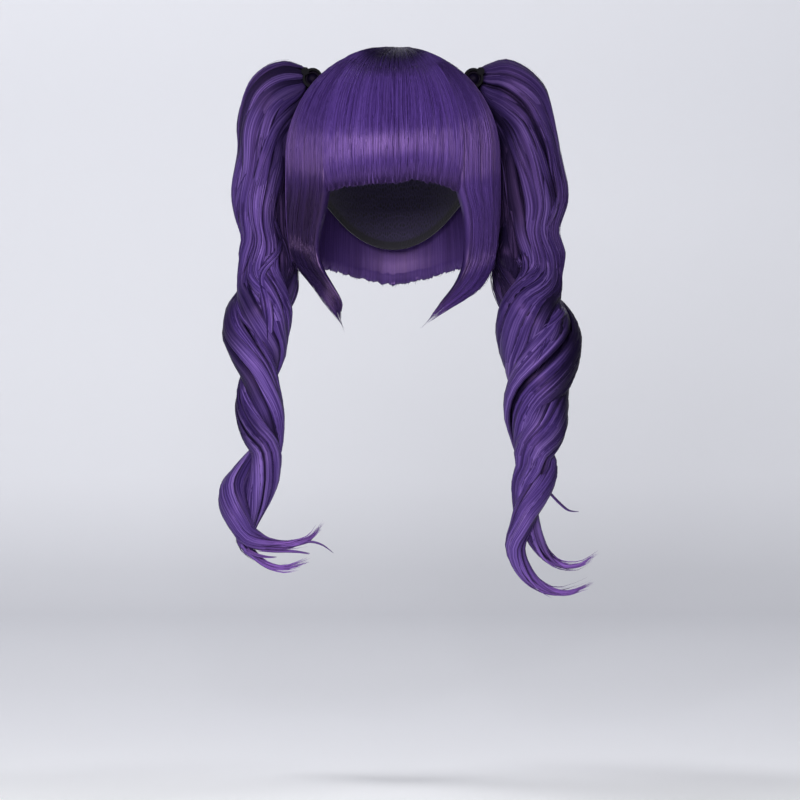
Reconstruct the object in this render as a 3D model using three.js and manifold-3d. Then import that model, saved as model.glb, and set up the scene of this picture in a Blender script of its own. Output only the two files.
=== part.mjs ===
// A cosplay wig: a straight bob with a blunt fringe on a stretch cap, and two long tails on claw clips, each
// twisted like a rope and curled at its ends.
// Millimetres, +Z up. The fringe is at the front, towards -Y, and +X is on the right of someone who looks at
// it. The origin is the inside of the crown, where the wig bears when it is worn.
import * as THREE from "three";
import { mergeVertices } from "three/addons/utils/BufferGeometryUtils.js";
import Module from "manifold-3d";

const wasm = await Module();
wasm.setup();

// The inside of the cap
const insideHalfWidth = 75;
const insideHalfDepth = 94;
const crownHeight = 84; // from the inside of the crown down to the widest level
const insideTaper = 150; // the depth below the widest level at which the cap's sides would meet

// Cap
const capWall = 1.2;
const napeDrop = 165; // from the crown down to the cap's edge at the nape

// Hair on the cap
const pieceGap = 0.4; // between neighbouring pieces
const capGap = 1.2; // between the cap and the hair on it
const crownLoft = 12.6; // thickness of the hair over the crown
const sideLoft = 15.6;
const sideAir = 3; // the hair stands off the cap at the sides
const frontLoft = 12.6;
const backLoft = 15.6;
const whorlDip = 2; // the crown sinks a little where the hair parts
const fringeHalfAngle = 40; // degrees either side of the middle of the front
const fringeTuck = 1.5; // degrees by which the fringe's ends are narrower, so that they turn in freely
const sideLockRearAngle = 82;
const fringeHang = 27; // below the widest level
const sideLockHang = 147;
const backHang = 92;
const tipThickness = 3.4; // of the hair at its cut ends
const grooveDepth = 2.2; // between locks
const tipLength = 6; // how far a lock's tip hangs below the gaps beside it

// Claw clips
const clipAngle = 46; // degrees down from the crown
const clipDepth = 14; // behind the middle of the cap
const clipLength = 34;
const clipRadius = 9;
const clipWall = 2.2;
const clipBarrelRadius = 3.6;
const toothCount = 5;
const toothGap = 2.6;
const toothLength = 7;

// Tails
const tailLength = 480; // from the level of the crown down to the lowest tip
const tailReach = 64; // how far the full tail stands out past the bob's side
const tailRootDepth = 20; // its middle at the root, behind the middle of the cap
const tailForward = 55; // how far its tips hang in front of its root
const bundleHalfDepth = 30;
const strandRadius = 28; // of each of the two twisted locks at its thickest
const strandOffset = 11; // from the tail's middle line to the middle of a lock
const bundleGroove = 0.13; // depth of the grooves between locks, as a share of the bundle's radius
const strandGroove = 0.14;

// Sizes that follow
const hairHalfWidth = insideHalfWidth + capWall + capGap + sideAir + sideLoft;
const hairFrontDepth = insideHalfDepth + capWall + capGap + frontLoft;
const hairBackDepth = insideHalfDepth + capWall + capGap + backLoft;
const hairHeight = crownHeight + capWall + capGap + crownLoft;
const widestLevel = -crownHeight;
const radians = Math.PI / 180;

const hair = { width: hairHalfWidth, front: hairFrontDepth, back: hairBackDepth, height: hairHeight };
const hairInside = {
  width: hairHalfWidth - sideLoft,
  front: hairFrontDepth - frontLoft,
  back: hairBackDepth - backLoft,
  height: hairHeight - crownLoft,
};
const capInside = {
  width: insideHalfWidth,
  front: insideHalfDepth,
  back: insideHalfDepth,
  height: crownHeight,
};
const capOutside = {
  width: insideHalfWidth + capWall,
  front: insideHalfDepth + capWall,
  back: insideHalfDepth + capWall,
  height: crownHeight + capWall,
};

// The cap's edge all round: degrees from the middle of the front, and its drop as a share of napeDrop
const capEdge = [
  { angle: 0, drop: 0.32 },
  { angle: 30, drop: 0.35 },
  { angle: 60, drop: 0.54 },
  { angle: 78, drop: 0.72 },
  { angle: 100, drop: 0.63 },
  { angle: 120, drop: 0.72 },
  { angle: 150, drop: 0.93 },
  { angle: 180, drop: 1 },
];

// The crown patch's edge, as a share of the way from the crown to the widest level, by degrees from the middle
// of the front. The patch reaches farther towards the front.
const crownEdge = [
  { angle: 0, reach: 0.48 },
  { angle: 20, reach: 0.455 },
  { angle: 40, reach: 0.355 },
  { angle: 60, reach: 0.29 },
  { angle: 90, reach: 0.245 },
  { angle: 180, reach: 0.225 },
];

// The fringe's lower edge, as a share of fringeHang, a little higher on the right of its middle
const fringeEdge = [
  { angle: -40, drop: 1.15 },
  { angle: -25, drop: 1.03 },
  { angle: 0, drop: 0.95 },
  { angle: 12, drop: 0.83 },
  { angle: 25, drop: 0.95 },
  { angle: 40, drop: 1.15 },
];

// The fringe's ends turn in a little
const fringeRows = [
  { at: 0, spread: 1 },
  { at: 0.4, spread: 0.995 },
  { at: 0.7, spread: 0.98 },
  { at: 1, spread: 0.955 },
];

// The side locks below the widest level: share of the hang, both edges in degrees from the middle of the front,
// and the share of the full width
const sideLockRows = {
  left: [
    { at: 0, front: 40, rear: 82, spread: 1 },
    { at: 0.22, front: 40, rear: 82, spread: 1 },
    { at: 0.37, front: 45, rear: 82, spread: 0.995 },
    { at: 0.5, front: 50, rear: 80, spread: 0.985 },
    { at: 0.6, front: 51, rear: 76, spread: 0.97 },
    { at: 0.7, front: 48, rear: 66, spread: 0.945 },
    { at: 0.8, front: 42, rear: 52, spread: 0.91 },
    { at: 0.9, front: 36, rear: 46, spread: 0.87 },
    { at: 1, front: 34, rear: 39, spread: 0.83 },
  ],
  right: [
    { at: 0, front: 40, rear: 82, spread: 1 },
    { at: 0.22, front: 40, rear: 82, spread: 1 },
    { at: 0.37, front: 48, rear: 82, spread: 0.995 },
    { at: 0.5, front: 50, rear: 81, spread: 0.985 },
    { at: 0.6, front: 50, rear: 79, spread: 0.97 },
    { at: 0.7, front: 48, rear: 73, spread: 0.945 },
    { at: 0.8, front: 43, rear: 62, spread: 0.91 },
    { at: 0.9, front: 33, rear: 43, spread: 0.87 },
    { at: 1, front: 23, rear: 28, spread: 0.83 },
  ],
};

// The back hair curls under at its ends
const backRows = [
  { at: 0, spread: 1 },
  { at: 0.5, spread: 1 },
  { at: 0.75, spread: 0.985 },
  { at: 1, spread: 0.95 },
];

// The back hair's lower edge, as a share of backHang, by degrees from the middle of the front
const backEdge = [
  { angle: 82, drop: 1.02 },
  { angle: 110, drop: 1 },
  { angle: 140, drop: 1.06 },
  { angle: 180, drop: 1.22 },
];

// A tail's bundle, as sections across it from the root down. inner and outer are the section's two ends seen
// from the front: out is the way past the bob's side as a share of tailReach, drop is a share of tailLength,
// and thick is a share of bundleHalfDepth.
const bundleRows = {
  right: [
    { innerOut: -0.291, innerDrop: 0.057, outerOut: -0.261, outerDrop: 0.001, thick: 0.43 },
    { innerOut: -0.19, innerDrop: 0.084, outerOut: -0.079, outerDrop: -0.012, thick: 0.63 },
    { innerOut: -0.079, innerDrop: 0.104, outerOut: 0.143, outerDrop: -0.018, thick: 0.8 },
    { innerOut: 0.001, innerDrop: 0.126, outerOut: 0.425, outerDrop: -0.001, thick: 0.9 },
    { innerOut: 0.041, innerDrop: 0.146, outerOut: 0.646, outerDrop: 0.03, thick: 0.97 },
    { innerOut: 0.061, innerDrop: 0.171, outerOut: 0.747, outerDrop: 0.066, thick: 1 },
    { innerOut: 0.066, innerDrop: 0.21, outerOut: 0.847, outerDrop: 0.121, thick: 1 },
    { innerOut: 0.06, innerDrop: 0.251, outerOut: 0.927, outerDrop: 0.185, thick: 1 },
    { innerOut: 0.05, innerDrop: 0.288, outerOut: 0.986, outerDrop: 0.247, thick: 0.97 },
    { innerOut: 0.029, innerDrop: 0.323, outerOut: 0.854, outerDrop: 0.308, thick: 0.93 },
    { innerOut: -0.012, innerDrop: 0.365, outerOut: 0.964, outerDrop: 0.36, thick: 0.93 },
    { innerOut: -0.073, innerDrop: 0.407, outerOut: 0.943, outerDrop: 0.407, thick: 0.9 },
    { innerOut: -0.053, innerDrop: 0.445, outerOut: 0.932, outerDrop: 0.445, thick: 0.87 },
    { innerOut: 0.066, innerDrop: 0.482, outerOut: 0.85, outerDrop: 0.482, thick: 0.73 },
    { innerOut: 0.256, innerDrop: 0.517, outerOut: 0.728, outerDrop: 0.517, thick: 0.47 },
  ],
  left: [
    { innerOut: -0.289, innerDrop: 0.057, outerOut: -0.259, outerDrop: 0.001, thick: 0.43 },
    { innerOut: -0.188, innerDrop: 0.084, outerOut: -0.098, outerDrop: -0.012, thick: 0.6 },
    { innerOut: -0.088, innerDrop: 0.104, outerOut: 0.074, outerDrop: -0.017, thick: 0.73 },
    { innerOut: -0.027, innerDrop: 0.121, outerOut: 0.295, outerDrop: -0.007, thick: 0.83 },
    { innerOut: 0.013, innerDrop: 0.138, outerOut: 0.487, outerDrop: 0.016, thick: 0.87 },
    { innerOut: 0.043, innerDrop: 0.163, outerOut: 0.607, outerDrop: 0.047, thick: 0.9 },
    { innerOut: 0.052, innerDrop: 0.197, outerOut: 0.687, outerDrop: 0.092, thick: 0.93 },
    { innerOut: 0.042, innerDrop: 0.239, outerOut: 0.717, outerDrop: 0.155, thick: 0.93 },
    { innerOut: 0.031, innerDrop: 0.281, outerOut: 0.787, outerDrop: 0.23, thick: 0.93 },
    { innerOut: 0.001, innerDrop: 0.315, outerOut: 0.746, outerDrop: 0.277, thick: 0.9 },
    { innerOut: -0.05, innerDrop: 0.344, outerOut: 0.654, outerDrop: 0.321, thick: 0.87 },
    { innerOut: -0.101, innerDrop: 0.374, outerOut: 0.713, outerDrop: 0.356, thick: 0.87 },
    { innerOut: -0.152, innerDrop: 0.407, outerOut: 0.743, outerDrop: 0.395, thick: 0.87 },
    { innerOut: -0.133, innerDrop: 0.441, outerOut: 0.761, outerDrop: 0.428, thick: 0.8 },
    { innerOut: -0.053, innerDrop: 0.474, outerOut: 0.73, outerDrop: 0.466, thick: 0.67 },
    { innerOut: 0.096, innerDrop: 0.508, outerOut: 0.638, outerDrop: 0.504, thick: 0.43 },
  ],
};

// The two twisted locks below the bundle: drop and out place the tail's middle line as above, lean is a share
// of tailForward, radius and offset are shares of strandRadius and strandOffset, and turn is the first lock's
// place round the middle line in degrees, 0 on the outer side and 90 behind.
const twistRows = {
  right: [
    { drop: 0.319, out: 0.432, lean: 0.08, radius: 0.4, offset: 0.9, turn: 250 },
    { drop: 0.369, out: 0.43, lean: 0.12, radius: 0.72, offset: 0.8, turn: 180 },
    { drop: 0.405, out: 0.429, lean: 0.16, radius: 0.9, offset: 0.75, turn: 135 },
    { drop: 0.44, out: 0.437, lean: 0.2, radius: 0.94, offset: 0.75, turn: 90 },
    { drop: 0.477, out: 0.494, lean: 0.26, radius: 0.98, offset: 0.95, turn: 45 },
    { drop: 0.512, out: 0.562, lean: 0.32, radius: 1, offset: 1, turn: 0 },
    { drop: 0.548, out: 0.569, lean: 0.38, radius: 1, offset: 0.9, turn: -45 },
    { drop: 0.584, out: 0.552, lean: 0.44, radius: 0.98, offset: 0.8, turn: -90 },
    { drop: 0.619, out: 0.519, lean: 0.5, radius: 0.88, offset: 0.75, turn: -135 },
    { drop: 0.654, out: 0.516, lean: 0.56, radius: 0.78, offset: 0.7, turn: -180 },
    { drop: 0.69, out: 0.519, lean: 0.62, radius: 0.7, offset: 0.68, turn: -225 },
    { drop: 0.725, out: 0.466, lean: 0.68, radius: 0.62, offset: 0.65, turn: -270 },
    { drop: 0.754, out: 0.514, lean: 0.73, radius: 0.53, offset: 0.6, turn: -315 },
    { drop: 0.781, out: 0.467, lean: 0.78, radius: 0.48, offset: 0.55, turn: -360 },
    { drop: 0.809, out: 0.411, lean: 0.82, radius: 0.43, offset: 0.5, turn: -405 },
    { drop: 0.837, out: 0.355, lean: 0.86, radius: 0.4, offset: 0.5, turn: -450 },
    { drop: 0.864, out: 0.348, lean: 0.9, radius: 0.36, offset: 0.62, turn: -490 },
  ],
  left: [
    { drop: 0.304, out: 0.343, lean: 0.06, radius: 0.35, offset: 0.85, turn: 250 },
    { drop: 0.349, out: 0.311, lean: 0.1, radius: 0.62, offset: 0.75, turn: 180 },
    { drop: 0.388, out: 0.28, lean: 0.14, radius: 0.84, offset: 0.75, turn: 135 },
    { drop: 0.425, out: 0.298, lean: 0.18, radius: 0.9, offset: 0.75, turn: 90 },
    { drop: 0.464, out: 0.376, lean: 0.24, radius: 0.84, offset: 0.85, turn: 45 },
    { drop: 0.501, out: 0.413, lean: 0.3, radius: 0.72, offset: 0.95, turn: 0 },
    { drop: 0.539, out: 0.38, lean: 0.36, radius: 0.63, offset: 1, turn: -45 },
    { drop: 0.576, out: 0.372, lean: 0.42, radius: 0.57, offset: 0.9, turn: -90 },
    { drop: 0.614, out: 0.39, lean: 0.48, radius: 0.52, offset: 0.85, turn: -135 },
    { drop: 0.651, out: 0.372, lean: 0.54, radius: 0.5, offset: 0.82, turn: -180 },
    { drop: 0.689, out: 0.33, lean: 0.6, radius: 0.49, offset: 0.78, turn: -225 },
    { drop: 0.725, out: 0.272, lean: 0.66, radius: 0.47, offset: 0.78, turn: -270 },
    { drop: 0.763, out: 0.394, lean: 0.72, radius: 0.49, offset: 0.9, turn: -315 },
    { drop: 0.799, out: 0.539, lean: 0.78, radius: 0.49, offset: 1, turn: -360 },
    { drop: 0.837, out: 0.586, lean: 0.84, radius: 0.45, offset: 0.8, turn: -405 },
    { drop: 0.869, out: 0.574, lean: 0.88, radius: 0.38, offset: 0.55, turn: -445 },
  ],
};

// The curled ends, one list for each of the two locks, in the same shares
const tipRows = {
  right: [
    [
      { drop: 0.901, out: 0.197, lean: 0.98, radius: 0.34 },
      { drop: 0.942, out: 0.315, lean: 1, radius: 0.3 },
      { drop: 0.978, out: 0.61, lean: 1, radius: 0.23 },
      { drop: 0.987, out: 0.907, lean: 0.98, radius: 0.14 },
      { drop: 0.977, out: 1.164, lean: 0.96, radius: 0.05 },
    ],
    [
      { drop: 0.89, out: 0.498, lean: 0.86, radius: 0.33 },
      { drop: 0.918, out: 0.646, lean: 0.86, radius: 0.29 },
      { drop: 0.936, out: 0.873, lean: 0.88, radius: 0.2 },
      { drop: 0.937, out: 1.069, lean: 0.9, radius: 0.12 },
      { drop: 0.926, out: 1.226, lean: 0.92, radius: 0.04 },
    ],
  ],
  left: [
    [
      { drop: 0.89, out: 0.392, lean: 0.96, radius: 0.34 },
      { drop: 0.898, out: 0.134, lean: 1, radius: 0.25 },
      { drop: 0.896, out: -0.142, lean: 1, radius: 0.17 },
      { drop: 0.886, out: -0.377, lean: 0.98, radius: 0.1 },
      { drop: 0.869, out: -0.515, lean: 0.96, radius: 0.04 },
    ],
    [
      { drop: 0.9, out: 0.55, lean: 0.86, radius: 0.27 },
      { drop: 0.92, out: 0.41, lean: 0.86, radius: 0.21 },
      { drop: 0.936, out: 0.22, lean: 0.88, radius: 0.15 },
      { drop: 0.941, out: 0, lean: 0.9, radius: 0.09 },
      { drop: 0.934, out: -0.22, lean: 0.92, radius: 0.04 },
    ],
  ],
};

// Materials
const hairMaterial = new THREE.MeshStandardMaterial({ color: "#47346d", roughness: 0.42, metalness: 0 });
const tailMaterial = new THREE.MeshStandardMaterial({ color: "#4b3872", roughness: 0.4, metalness: 0 });
const netMaterial = new THREE.MeshStandardMaterial({ color: "#1d1628", roughness: 0.85, metalness: 0 });
const clipMaterial = new THREE.MeshStandardMaterial({ color: "#0f0f12", roughness: 0.3, metalness: 0 });

// A column of a table at a place between its rows, straight from row to row
function between(rows, key, place, column) {
  const after = rows.findIndex((row) => row[key] >= place);
  if (after < 0) return rows[rows.length - 1][column];
  if (after === 0) return rows[0][column];
  const low = rows[after - 1];
  const high = rows[after];
  return THREE.MathUtils.mapLinear(place, low[key], high[key], low[column], high[column]);
}

// A column of a table as one smooth curve through its rows, at a row number that may have a fraction
function smooth(rows, column, rowNumber) {
  const row = Math.min(Math.floor(rowNumber), rows.length - 2);
  const value = (i) => rows[THREE.MathUtils.clamp(i, 0, rows.length - 1)][column];
  const t = rowNumber - row;
  const slopeIn = (value(row + 1) - value(row - 1)) / 2;
  const slopeOut = (value(row + 2) - value(row)) / 2;
  const rise = value(row + 1) - value(row);
  const bend = 3 * rise - 2 * slopeIn - slopeOut;
  const twist = slopeIn + slopeOut - 2 * rise;
  return value(row) + t * (slopeIn + t * (bend + t * twist));
}

// How far into its groove a place on the hair lies, 0 on top of a lock and 1 between two
function groove(lockNumber) {
  const share = lockNumber - Math.floor(lockNumber);
  return (2 * share - 1) ** 4;
}

// The length of the way down an oval from its top to a height above or below the widest level
function wayTo(height, oval) {
  const round = (oval.width + oval.height) / 2;
  return height > 0 ? round * Math.acos(Math.min(1, height / oval.height)) : (round * Math.PI) / 2 - height;
}

// A point of an oval: degrees round from the middle of the front, the way down from the top, and what the sides
// do below the widest level. inset is how far inside the oval the point lies.
function ovalPoint(angle, way, oval, spreadBelow, inset = 0) {
  const round = (oval.width + oval.height) / 2;
  const bend = Math.min(way / round, Math.PI / 2);
  const below = Math.max(0, way - (round * Math.PI) / 2);
  const spread = below > 0 ? spreadBelow(below) : Math.sin(bend);
  const depth = Math.cos(angle * radians) > 0 ? oval.front : oval.back;
  return new THREE.Vector3(
    (oval.width - inset) * spread * Math.sin(angle * radians),
    -(depth - inset) * spread * Math.cos(angle * radians),
    widestLevel + (oval.height - inset) * Math.cos(bend) - below,
  );
}

// A closed geometry from points and triangles, with its faces turned outwards
function closedGeometry(points, triangles) {
  const volume = triangles.reduce((sum, [a, b, c]) => {
    const normal = new THREE.Vector3().crossVectors(points[b], points[c]);
    return sum + points[a].dot(normal);
  }, 0);
  const faces = volume < 0 ? triangles.map(([a, b, c]) => [a, c, b]) : triangles;
  const geometry = new THREE.BufferGeometry().setFromPoints(points);
  geometry.setIndex(faces.flat());
  geometry.computeVertexNormals();
  return geometry;
}

function quad(a, b, c, d) {
  return [
    [a, b, c],
    [a, c, d],
  ];
}

// A solid through rings of equally many points, closed by a fan at each end
function loft(rings) {
  const sides = rings[0].length;
  const points = rings.flat();
  const triangles = [];
  for (let r = 0; r < rings.length - 1; r += 1) {
    for (let k = 0; k < sides; k += 1) {
      const next = (k + 1) % sides;
      triangles.push(...quad(r * sides + k, r * sides + next, (r + 1) * sides + next, (r + 1) * sides + k));
    }
  }
  for (const [ring, turned] of [[0, false], [rings.length - 1, true]]) {
    const middle = rings[ring].reduce((sum, p) => sum.add(p), new THREE.Vector3()).divideScalar(sides);
    points.push(middle);
    for (let k = 0; k < sides; k += 1) {
      const here = ring * sides + k;
      const next = ring * sides + ((k + 1) % sides);
      triangles.push(turned ? [here, next, points.length - 1] : [next, here, points.length - 1]);
    }
  }
  return closedGeometry(points, triangles);
}

// A wall between an outer and an inner sheet of points, each a list of columns from top to bottom
function wall(outer, inner) {
  const columns = outer.length;
  const rows = outer[0].length;
  const points = [...outer.flat(), ...inner.flat()];
  const place = (sheet, c, r) => sheet * columns * rows + c * rows + r;
  const triangles = [];
  for (let c = 0; c < columns - 1; c += 1) {
    for (let r = 0; r < rows - 1; r += 1) {
      triangles.push(...quad(place(0, c, r), place(0, c, r + 1), place(0, c + 1, r + 1), place(0, c + 1, r)));
      triangles.push(...quad(place(1, c, r), place(1, c + 1, r), place(1, c + 1, r + 1), place(1, c, r + 1)));
    }
    for (const [r, turned] of [[0, true], [rows - 1, false]]) {
      const corners = [place(0, c, r), place(1, c, r), place(1, c + 1, r), place(0, c + 1, r)];
      triangles.push(...quad(...(turned ? corners.reverse() : corners)));
    }
  }
  for (let r = 0; r < rows - 1; r += 1) {
    for (const [c, turned] of [[0, false], [columns - 1, true]]) {
      const corners = [place(0, c, r), place(1, c, r), place(1, c, r + 1), place(0, c, r + 1)];
      triangles.push(...quad(...(turned ? corners.reverse() : corners)));
    }
  }
  return closedGeometry(points, triangles);
}

// A bowl between an outer and an inner sheet, each a ring of columns that all start at its top point
function bowl(outer, inner) {
  const columns = outer.length;
  const rows = outer[0].length - 1;
  const points = [outer[0][0], inner[0][0]];
  for (const sheet of [outer, inner]) sheet.forEach((column) => points.push(...column.slice(1)));
  const place = (sheet, c, r) => (r < 0 ? sheet : 2 + sheet * columns * rows + (c % columns) * rows + r);
  const triangles = [];
  for (let c = 0; c < columns; c += 1) {
    triangles.push([place(0, c, -1), place(0, c, 0), place(0, c + 1, 0)]);
    triangles.push([place(1, c, -1), place(1, c + 1, 0), place(1, c, 0)]);
    for (let r = 0; r < rows - 1; r += 1) {
      triangles.push(...quad(place(0, c, r), place(0, c, r + 1), place(0, c + 1, r + 1), place(0, c + 1, r)));
      triangles.push(...quad(place(1, c, r), place(1, c + 1, r), place(1, c + 1, r + 1), place(1, c, r + 1)));
    }
    const end = rows - 1;
    triangles.push(...quad(place(0, c, end), place(1, c, end), place(1, c + 1, end), place(0, c + 1, end)));
  }
  return closedGeometry(points, triangles);
}

// Solids for cutting and joining
function solidOf(geometry) {
  const bare = geometry.clone();
  bare.deleteAttribute("normal");
  bare.deleteAttribute("uv");
  const merged = mergeVertices(bare, 1e-4);
  const triVerts = new Uint32Array(merged.index.array);
  const vertProperties = new Float32Array(merged.attributes.position.array);
  return new wasm.Manifold(new wasm.Mesh({ numProp: 3, vertProperties, triVerts }));
}

function geometryOf(solid) {
  const made = solid.getMesh();
  const geometry = new THREE.BufferGeometry();
  geometry.setAttribute("position", new THREE.BufferAttribute(new Float32Array(made.vertProperties), 3));
  geometry.setIndex(new THREE.BufferAttribute(new Uint32Array(made.triVerts), 1));
  geometry.computeVertexNormals();
  return geometry;
}

function named(name, geometry, material) {
  const mesh = new THREE.Mesh(geometry, material);
  mesh.name = name;
  return mesh;
}

// Cap: a thin bowl whose edge follows the hairline, dips at the sides and again at the nape
function capMesh() {
  const columns = 28;
  const rows = 8;
  const taper = (below) => Math.sqrt(1 - (below / insideTaper) ** 2);
  const sheet = (oval) =>
    Array.from({ length: columns }, (_, c) => {
      const angle = (c * 360) / columns;
      const fromFront = angle > 180 ? 360 - angle : angle;
      const edge = wayTo(crownHeight - napeDrop * between(capEdge, "angle", fromFront, "drop"), capInside);
      return Array.from({ length: rows + 1 }, (__, r) => ovalPoint(angle, (edge * r) / rows, oval, taper));
    });
  return named("cap", bowl(sheet(capOutside), sheet(capInside)), netMaterial);
}

// The way from the crown to the edge of the crown patch
function crownWay(angle) {
  const fromFront = Math.abs(angle) > 180 ? 360 - Math.abs(angle) : Math.abs(angle);
  return wayTo(0, hair) * between(crownEdge, "angle", fromFront, "reach");
}

// The crown patch: a shallow pad with grooves that meet where the hair parts
function crownMesh() {
  const locks = 9;
  const columns = locks * 4;
  const rows = 4;
  const sheet = (oval, inside) =>
    Array.from({ length: columns }, (_, c) => {
      const angle = (c * 360) / columns;
      return Array.from({ length: rows + 1 }, (__, r) => {
        const dip = whorlDip * (1 - r / rows) ** 4;
        const inset = inside ? 0 : dip + grooveDepth * groove(c / 4) * (r / rows);
        return ovalPoint(angle, ((crownWay(angle) - pieceGap) * r) / rows, oval, () => 1, inset);
      });
    });
  return named("crown_top", bowl(sheet(hair, false), sheet(hairInside, true)), hairMaterial);
}

// A panel of hair from the crown patch down to its cut ends. edges gives its two edges in degrees at a share of
// the way below the widest level, hang its length there, and spread its share of the full width.
function panelGeometry({ locks, columnsPerLock, rows, edges, hang, spread }) {
  const columns = locks * columnsPerLock;
  const widest = wayTo(0, hair);
  const halfGap = pieceGap / 2 / hairHalfWidth / radians;
  const sheet = (inside) =>
    Array.from({ length: columns + 1 }, (_, c) => {
      const lockNumber = c / columnsPerLock;
      const nearTip = 1 - groove(lockNumber);
      const across = c / columns;
      const middle = THREE.MathUtils.lerp(...edges(0), across);
      const start = crownWay(middle);
      const longest = hang(middle) + tipLength * nearTip;
      return Array.from({ length: rows + 1 }, (__, r) => {
        const way = THREE.MathUtils.lerp(start, widest + longest, r / rows);
        const share = Math.max(0, way - widest) / longest;
        const [from, to] = edges(share);
        const angle = THREE.MathUtils.lerp(from + halfGap, to - halfGap, across);
        const spreadBelow = (below) => spread(below / longest);
        const cut = grooveDepth * groove(lockNumber) * Math.min(1, (3 * r) / rows);
        if (!inside) return ovalPoint(angle, way, hair, spreadBelow, cut);
        const full = ovalPoint(angle, way, hair, spreadBelow);
        const deep = ovalPoint(angle, way, hairInside, spreadBelow);
        const thin = tipThickness / full.distanceTo(deep);
        return deep.lerp(full, (1 - thin) * share ** 1.5);
      });
    });
  return wall(sheet(false), sheet(true));
}

function fringeMesh() {
  const geometry = panelGeometry({
    locks: 9,
    columnsPerLock: 4,
    rows: 7,
    edges: (share) => [fringeTuck * share - fringeHalfAngle, fringeHalfAngle - fringeTuck * share],
    hang: (angle) => fringeHang * between(fringeEdge, "angle", angle, "drop"),
    spread: (share) => between(fringeRows, "at", share, "spread"),
  });
  return named("fringe", geometry, hairMaterial);
}

function sideLockMesh(side) {
  const table = sideLockRows[side];
  const geometry = panelGeometry({
    locks: 3,
    columnsPerLock: 4,
    rows: 17,
    edges: (share) => {
      const front = fringeHalfAngle + between(table, "at", share, "front") - table[0].front;
      const rear = sideLockRearAngle + between(table, "at", share, "rear") - table[0].rear;
      return side === "right" ? [front, rear] : [-rear, -front];
    },
    hang: () => sideLockHang - tipLength,
    spread: (share) => between(table, "at", share, "spread"),
  });
  return named("side_lock_" + side, geometry, hairMaterial);
}

function backMesh() {
  const fromFront = (angle) => (angle > 180 ? 360 - angle : angle);
  const geometry = panelGeometry({
    locks: 14,
    columnsPerLock: 3,
    rows: 10,
    edges: () => [sideLockRearAngle, 360 - sideLockRearAngle],
    hang: (angle) => backHang * between(backEdge, "angle", fromFront(angle), "drop") - tipLength,
    spread: (share) => between(backRows, "at", share, "spread"),
  });
  return named("back_hair", geometry, hairMaterial);
}

// The outside of the bob with no grooves, larger all round by a clearance, for cutting what sits on it
function bobEnvelope(clearance) {
  const columns = 56;
  const rows = 20;
  const bottom = wayTo(0, hair) + backHang * 1.04;
  const rings = Array.from({ length: rows }, (_, r) =>
    Array.from({ length: columns }, (__, c) => {
      const way = THREE.MathUtils.lerp(0.02, 1, r / (rows - 1)) * bottom;
      return ovalPoint((c * 360) / columns, way, hair, () => 1, -clearance);
    }),
  );
  return solidOf(loft(rings));
}

// The middle of a claw clip, on the bob's surface, and the way out of the surface there
function clipPlace(side) {
  const sign = side === "right" ? 1 : -1;
  const way = wayTo(0, hair) * (clipAngle / 90);
  const surface = ovalPoint(90 * sign, way, hair, () => 1);
  const outward = new THREE.Vector3(
    surface.x / hair.width ** 2,
    0,
    (surface.z - widestLevel) / hair.height ** 2,
  ).normalize();
  return { surface: surface.setY(clipDepth), outward };
}

// Claw clip: two bowed jaws that meet under a barrel, with gaps cut in their ends to leave the teeth
function clipMesh(side) {
  const { surface, outward } = clipPlace(side);
  const jawAngle = 115 * radians;
  const profile = new THREE.Shape();
  profile.absarc(0, 0, clipRadius, Math.PI / 2 - jawAngle, Math.PI / 2 + jawAngle, false);
  profile.absarc(0, 0, clipRadius - clipWall, Math.PI / 2 + jawAngle, Math.PI / 2 - jawAngle, true);
  const length = { depth: clipLength, bevelEnabled: false, curveSegments: 9 };
  const jaws = new THREE.ExtrudeGeometry(profile, length);
  const barrel = new THREE.CylinderGeometry(clipBarrelRadius, clipBarrelRadius, clipLength, 10);
  barrel.rotateX(Math.PI / 2);
  barrel.translate(0, clipRadius, clipLength / 2);
  let clip = solidOf(jaws).add(solidOf(barrel));
  const pitch = clipLength / toothCount;
  for (let i = 1; i < toothCount; i += 1) {
    const gap = new THREE.BoxGeometry(4 * clipRadius, toothLength, toothGap);
    gap.translate(0, toothLength / 2 - clipRadius, i * pitch);
    clip = clip.subtract(solidOf(gap));
  }
  // The profile's own up is turned to the way out of the hair, and its length to run from front to back
  const across = new THREE.Vector3().crossVectors(outward, new THREE.Vector3(0, 1, 0));
  const place = new THREE.Matrix4().makeBasis(across, outward, new THREE.Vector3(0, 1, 0));
  place.setPosition(surface.addScaledVector(outward, clipRadius / 2).setY(clipDepth - clipLength / 2));
  const geometry = geometryOf(clip).applyMatrix4(place);
  const seated = solidOf(geometry).subtract(bobEnvelope(pieceGap));
  return named("claw_clip_" + side, geometryOf(seated), clipMaterial);
}

// A point of a tail from shares: out past the bob's side, down from the crown, and forward
function tailPoint(side, out, drop, lean) {
  const sign = side === "right" ? 1 : -1;
  return new THREE.Vector3(
    sign * (hairHalfWidth + out * tailReach),
    tailRootDepth - lean * tailForward,
    -drop * tailLength,
  );
}

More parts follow.
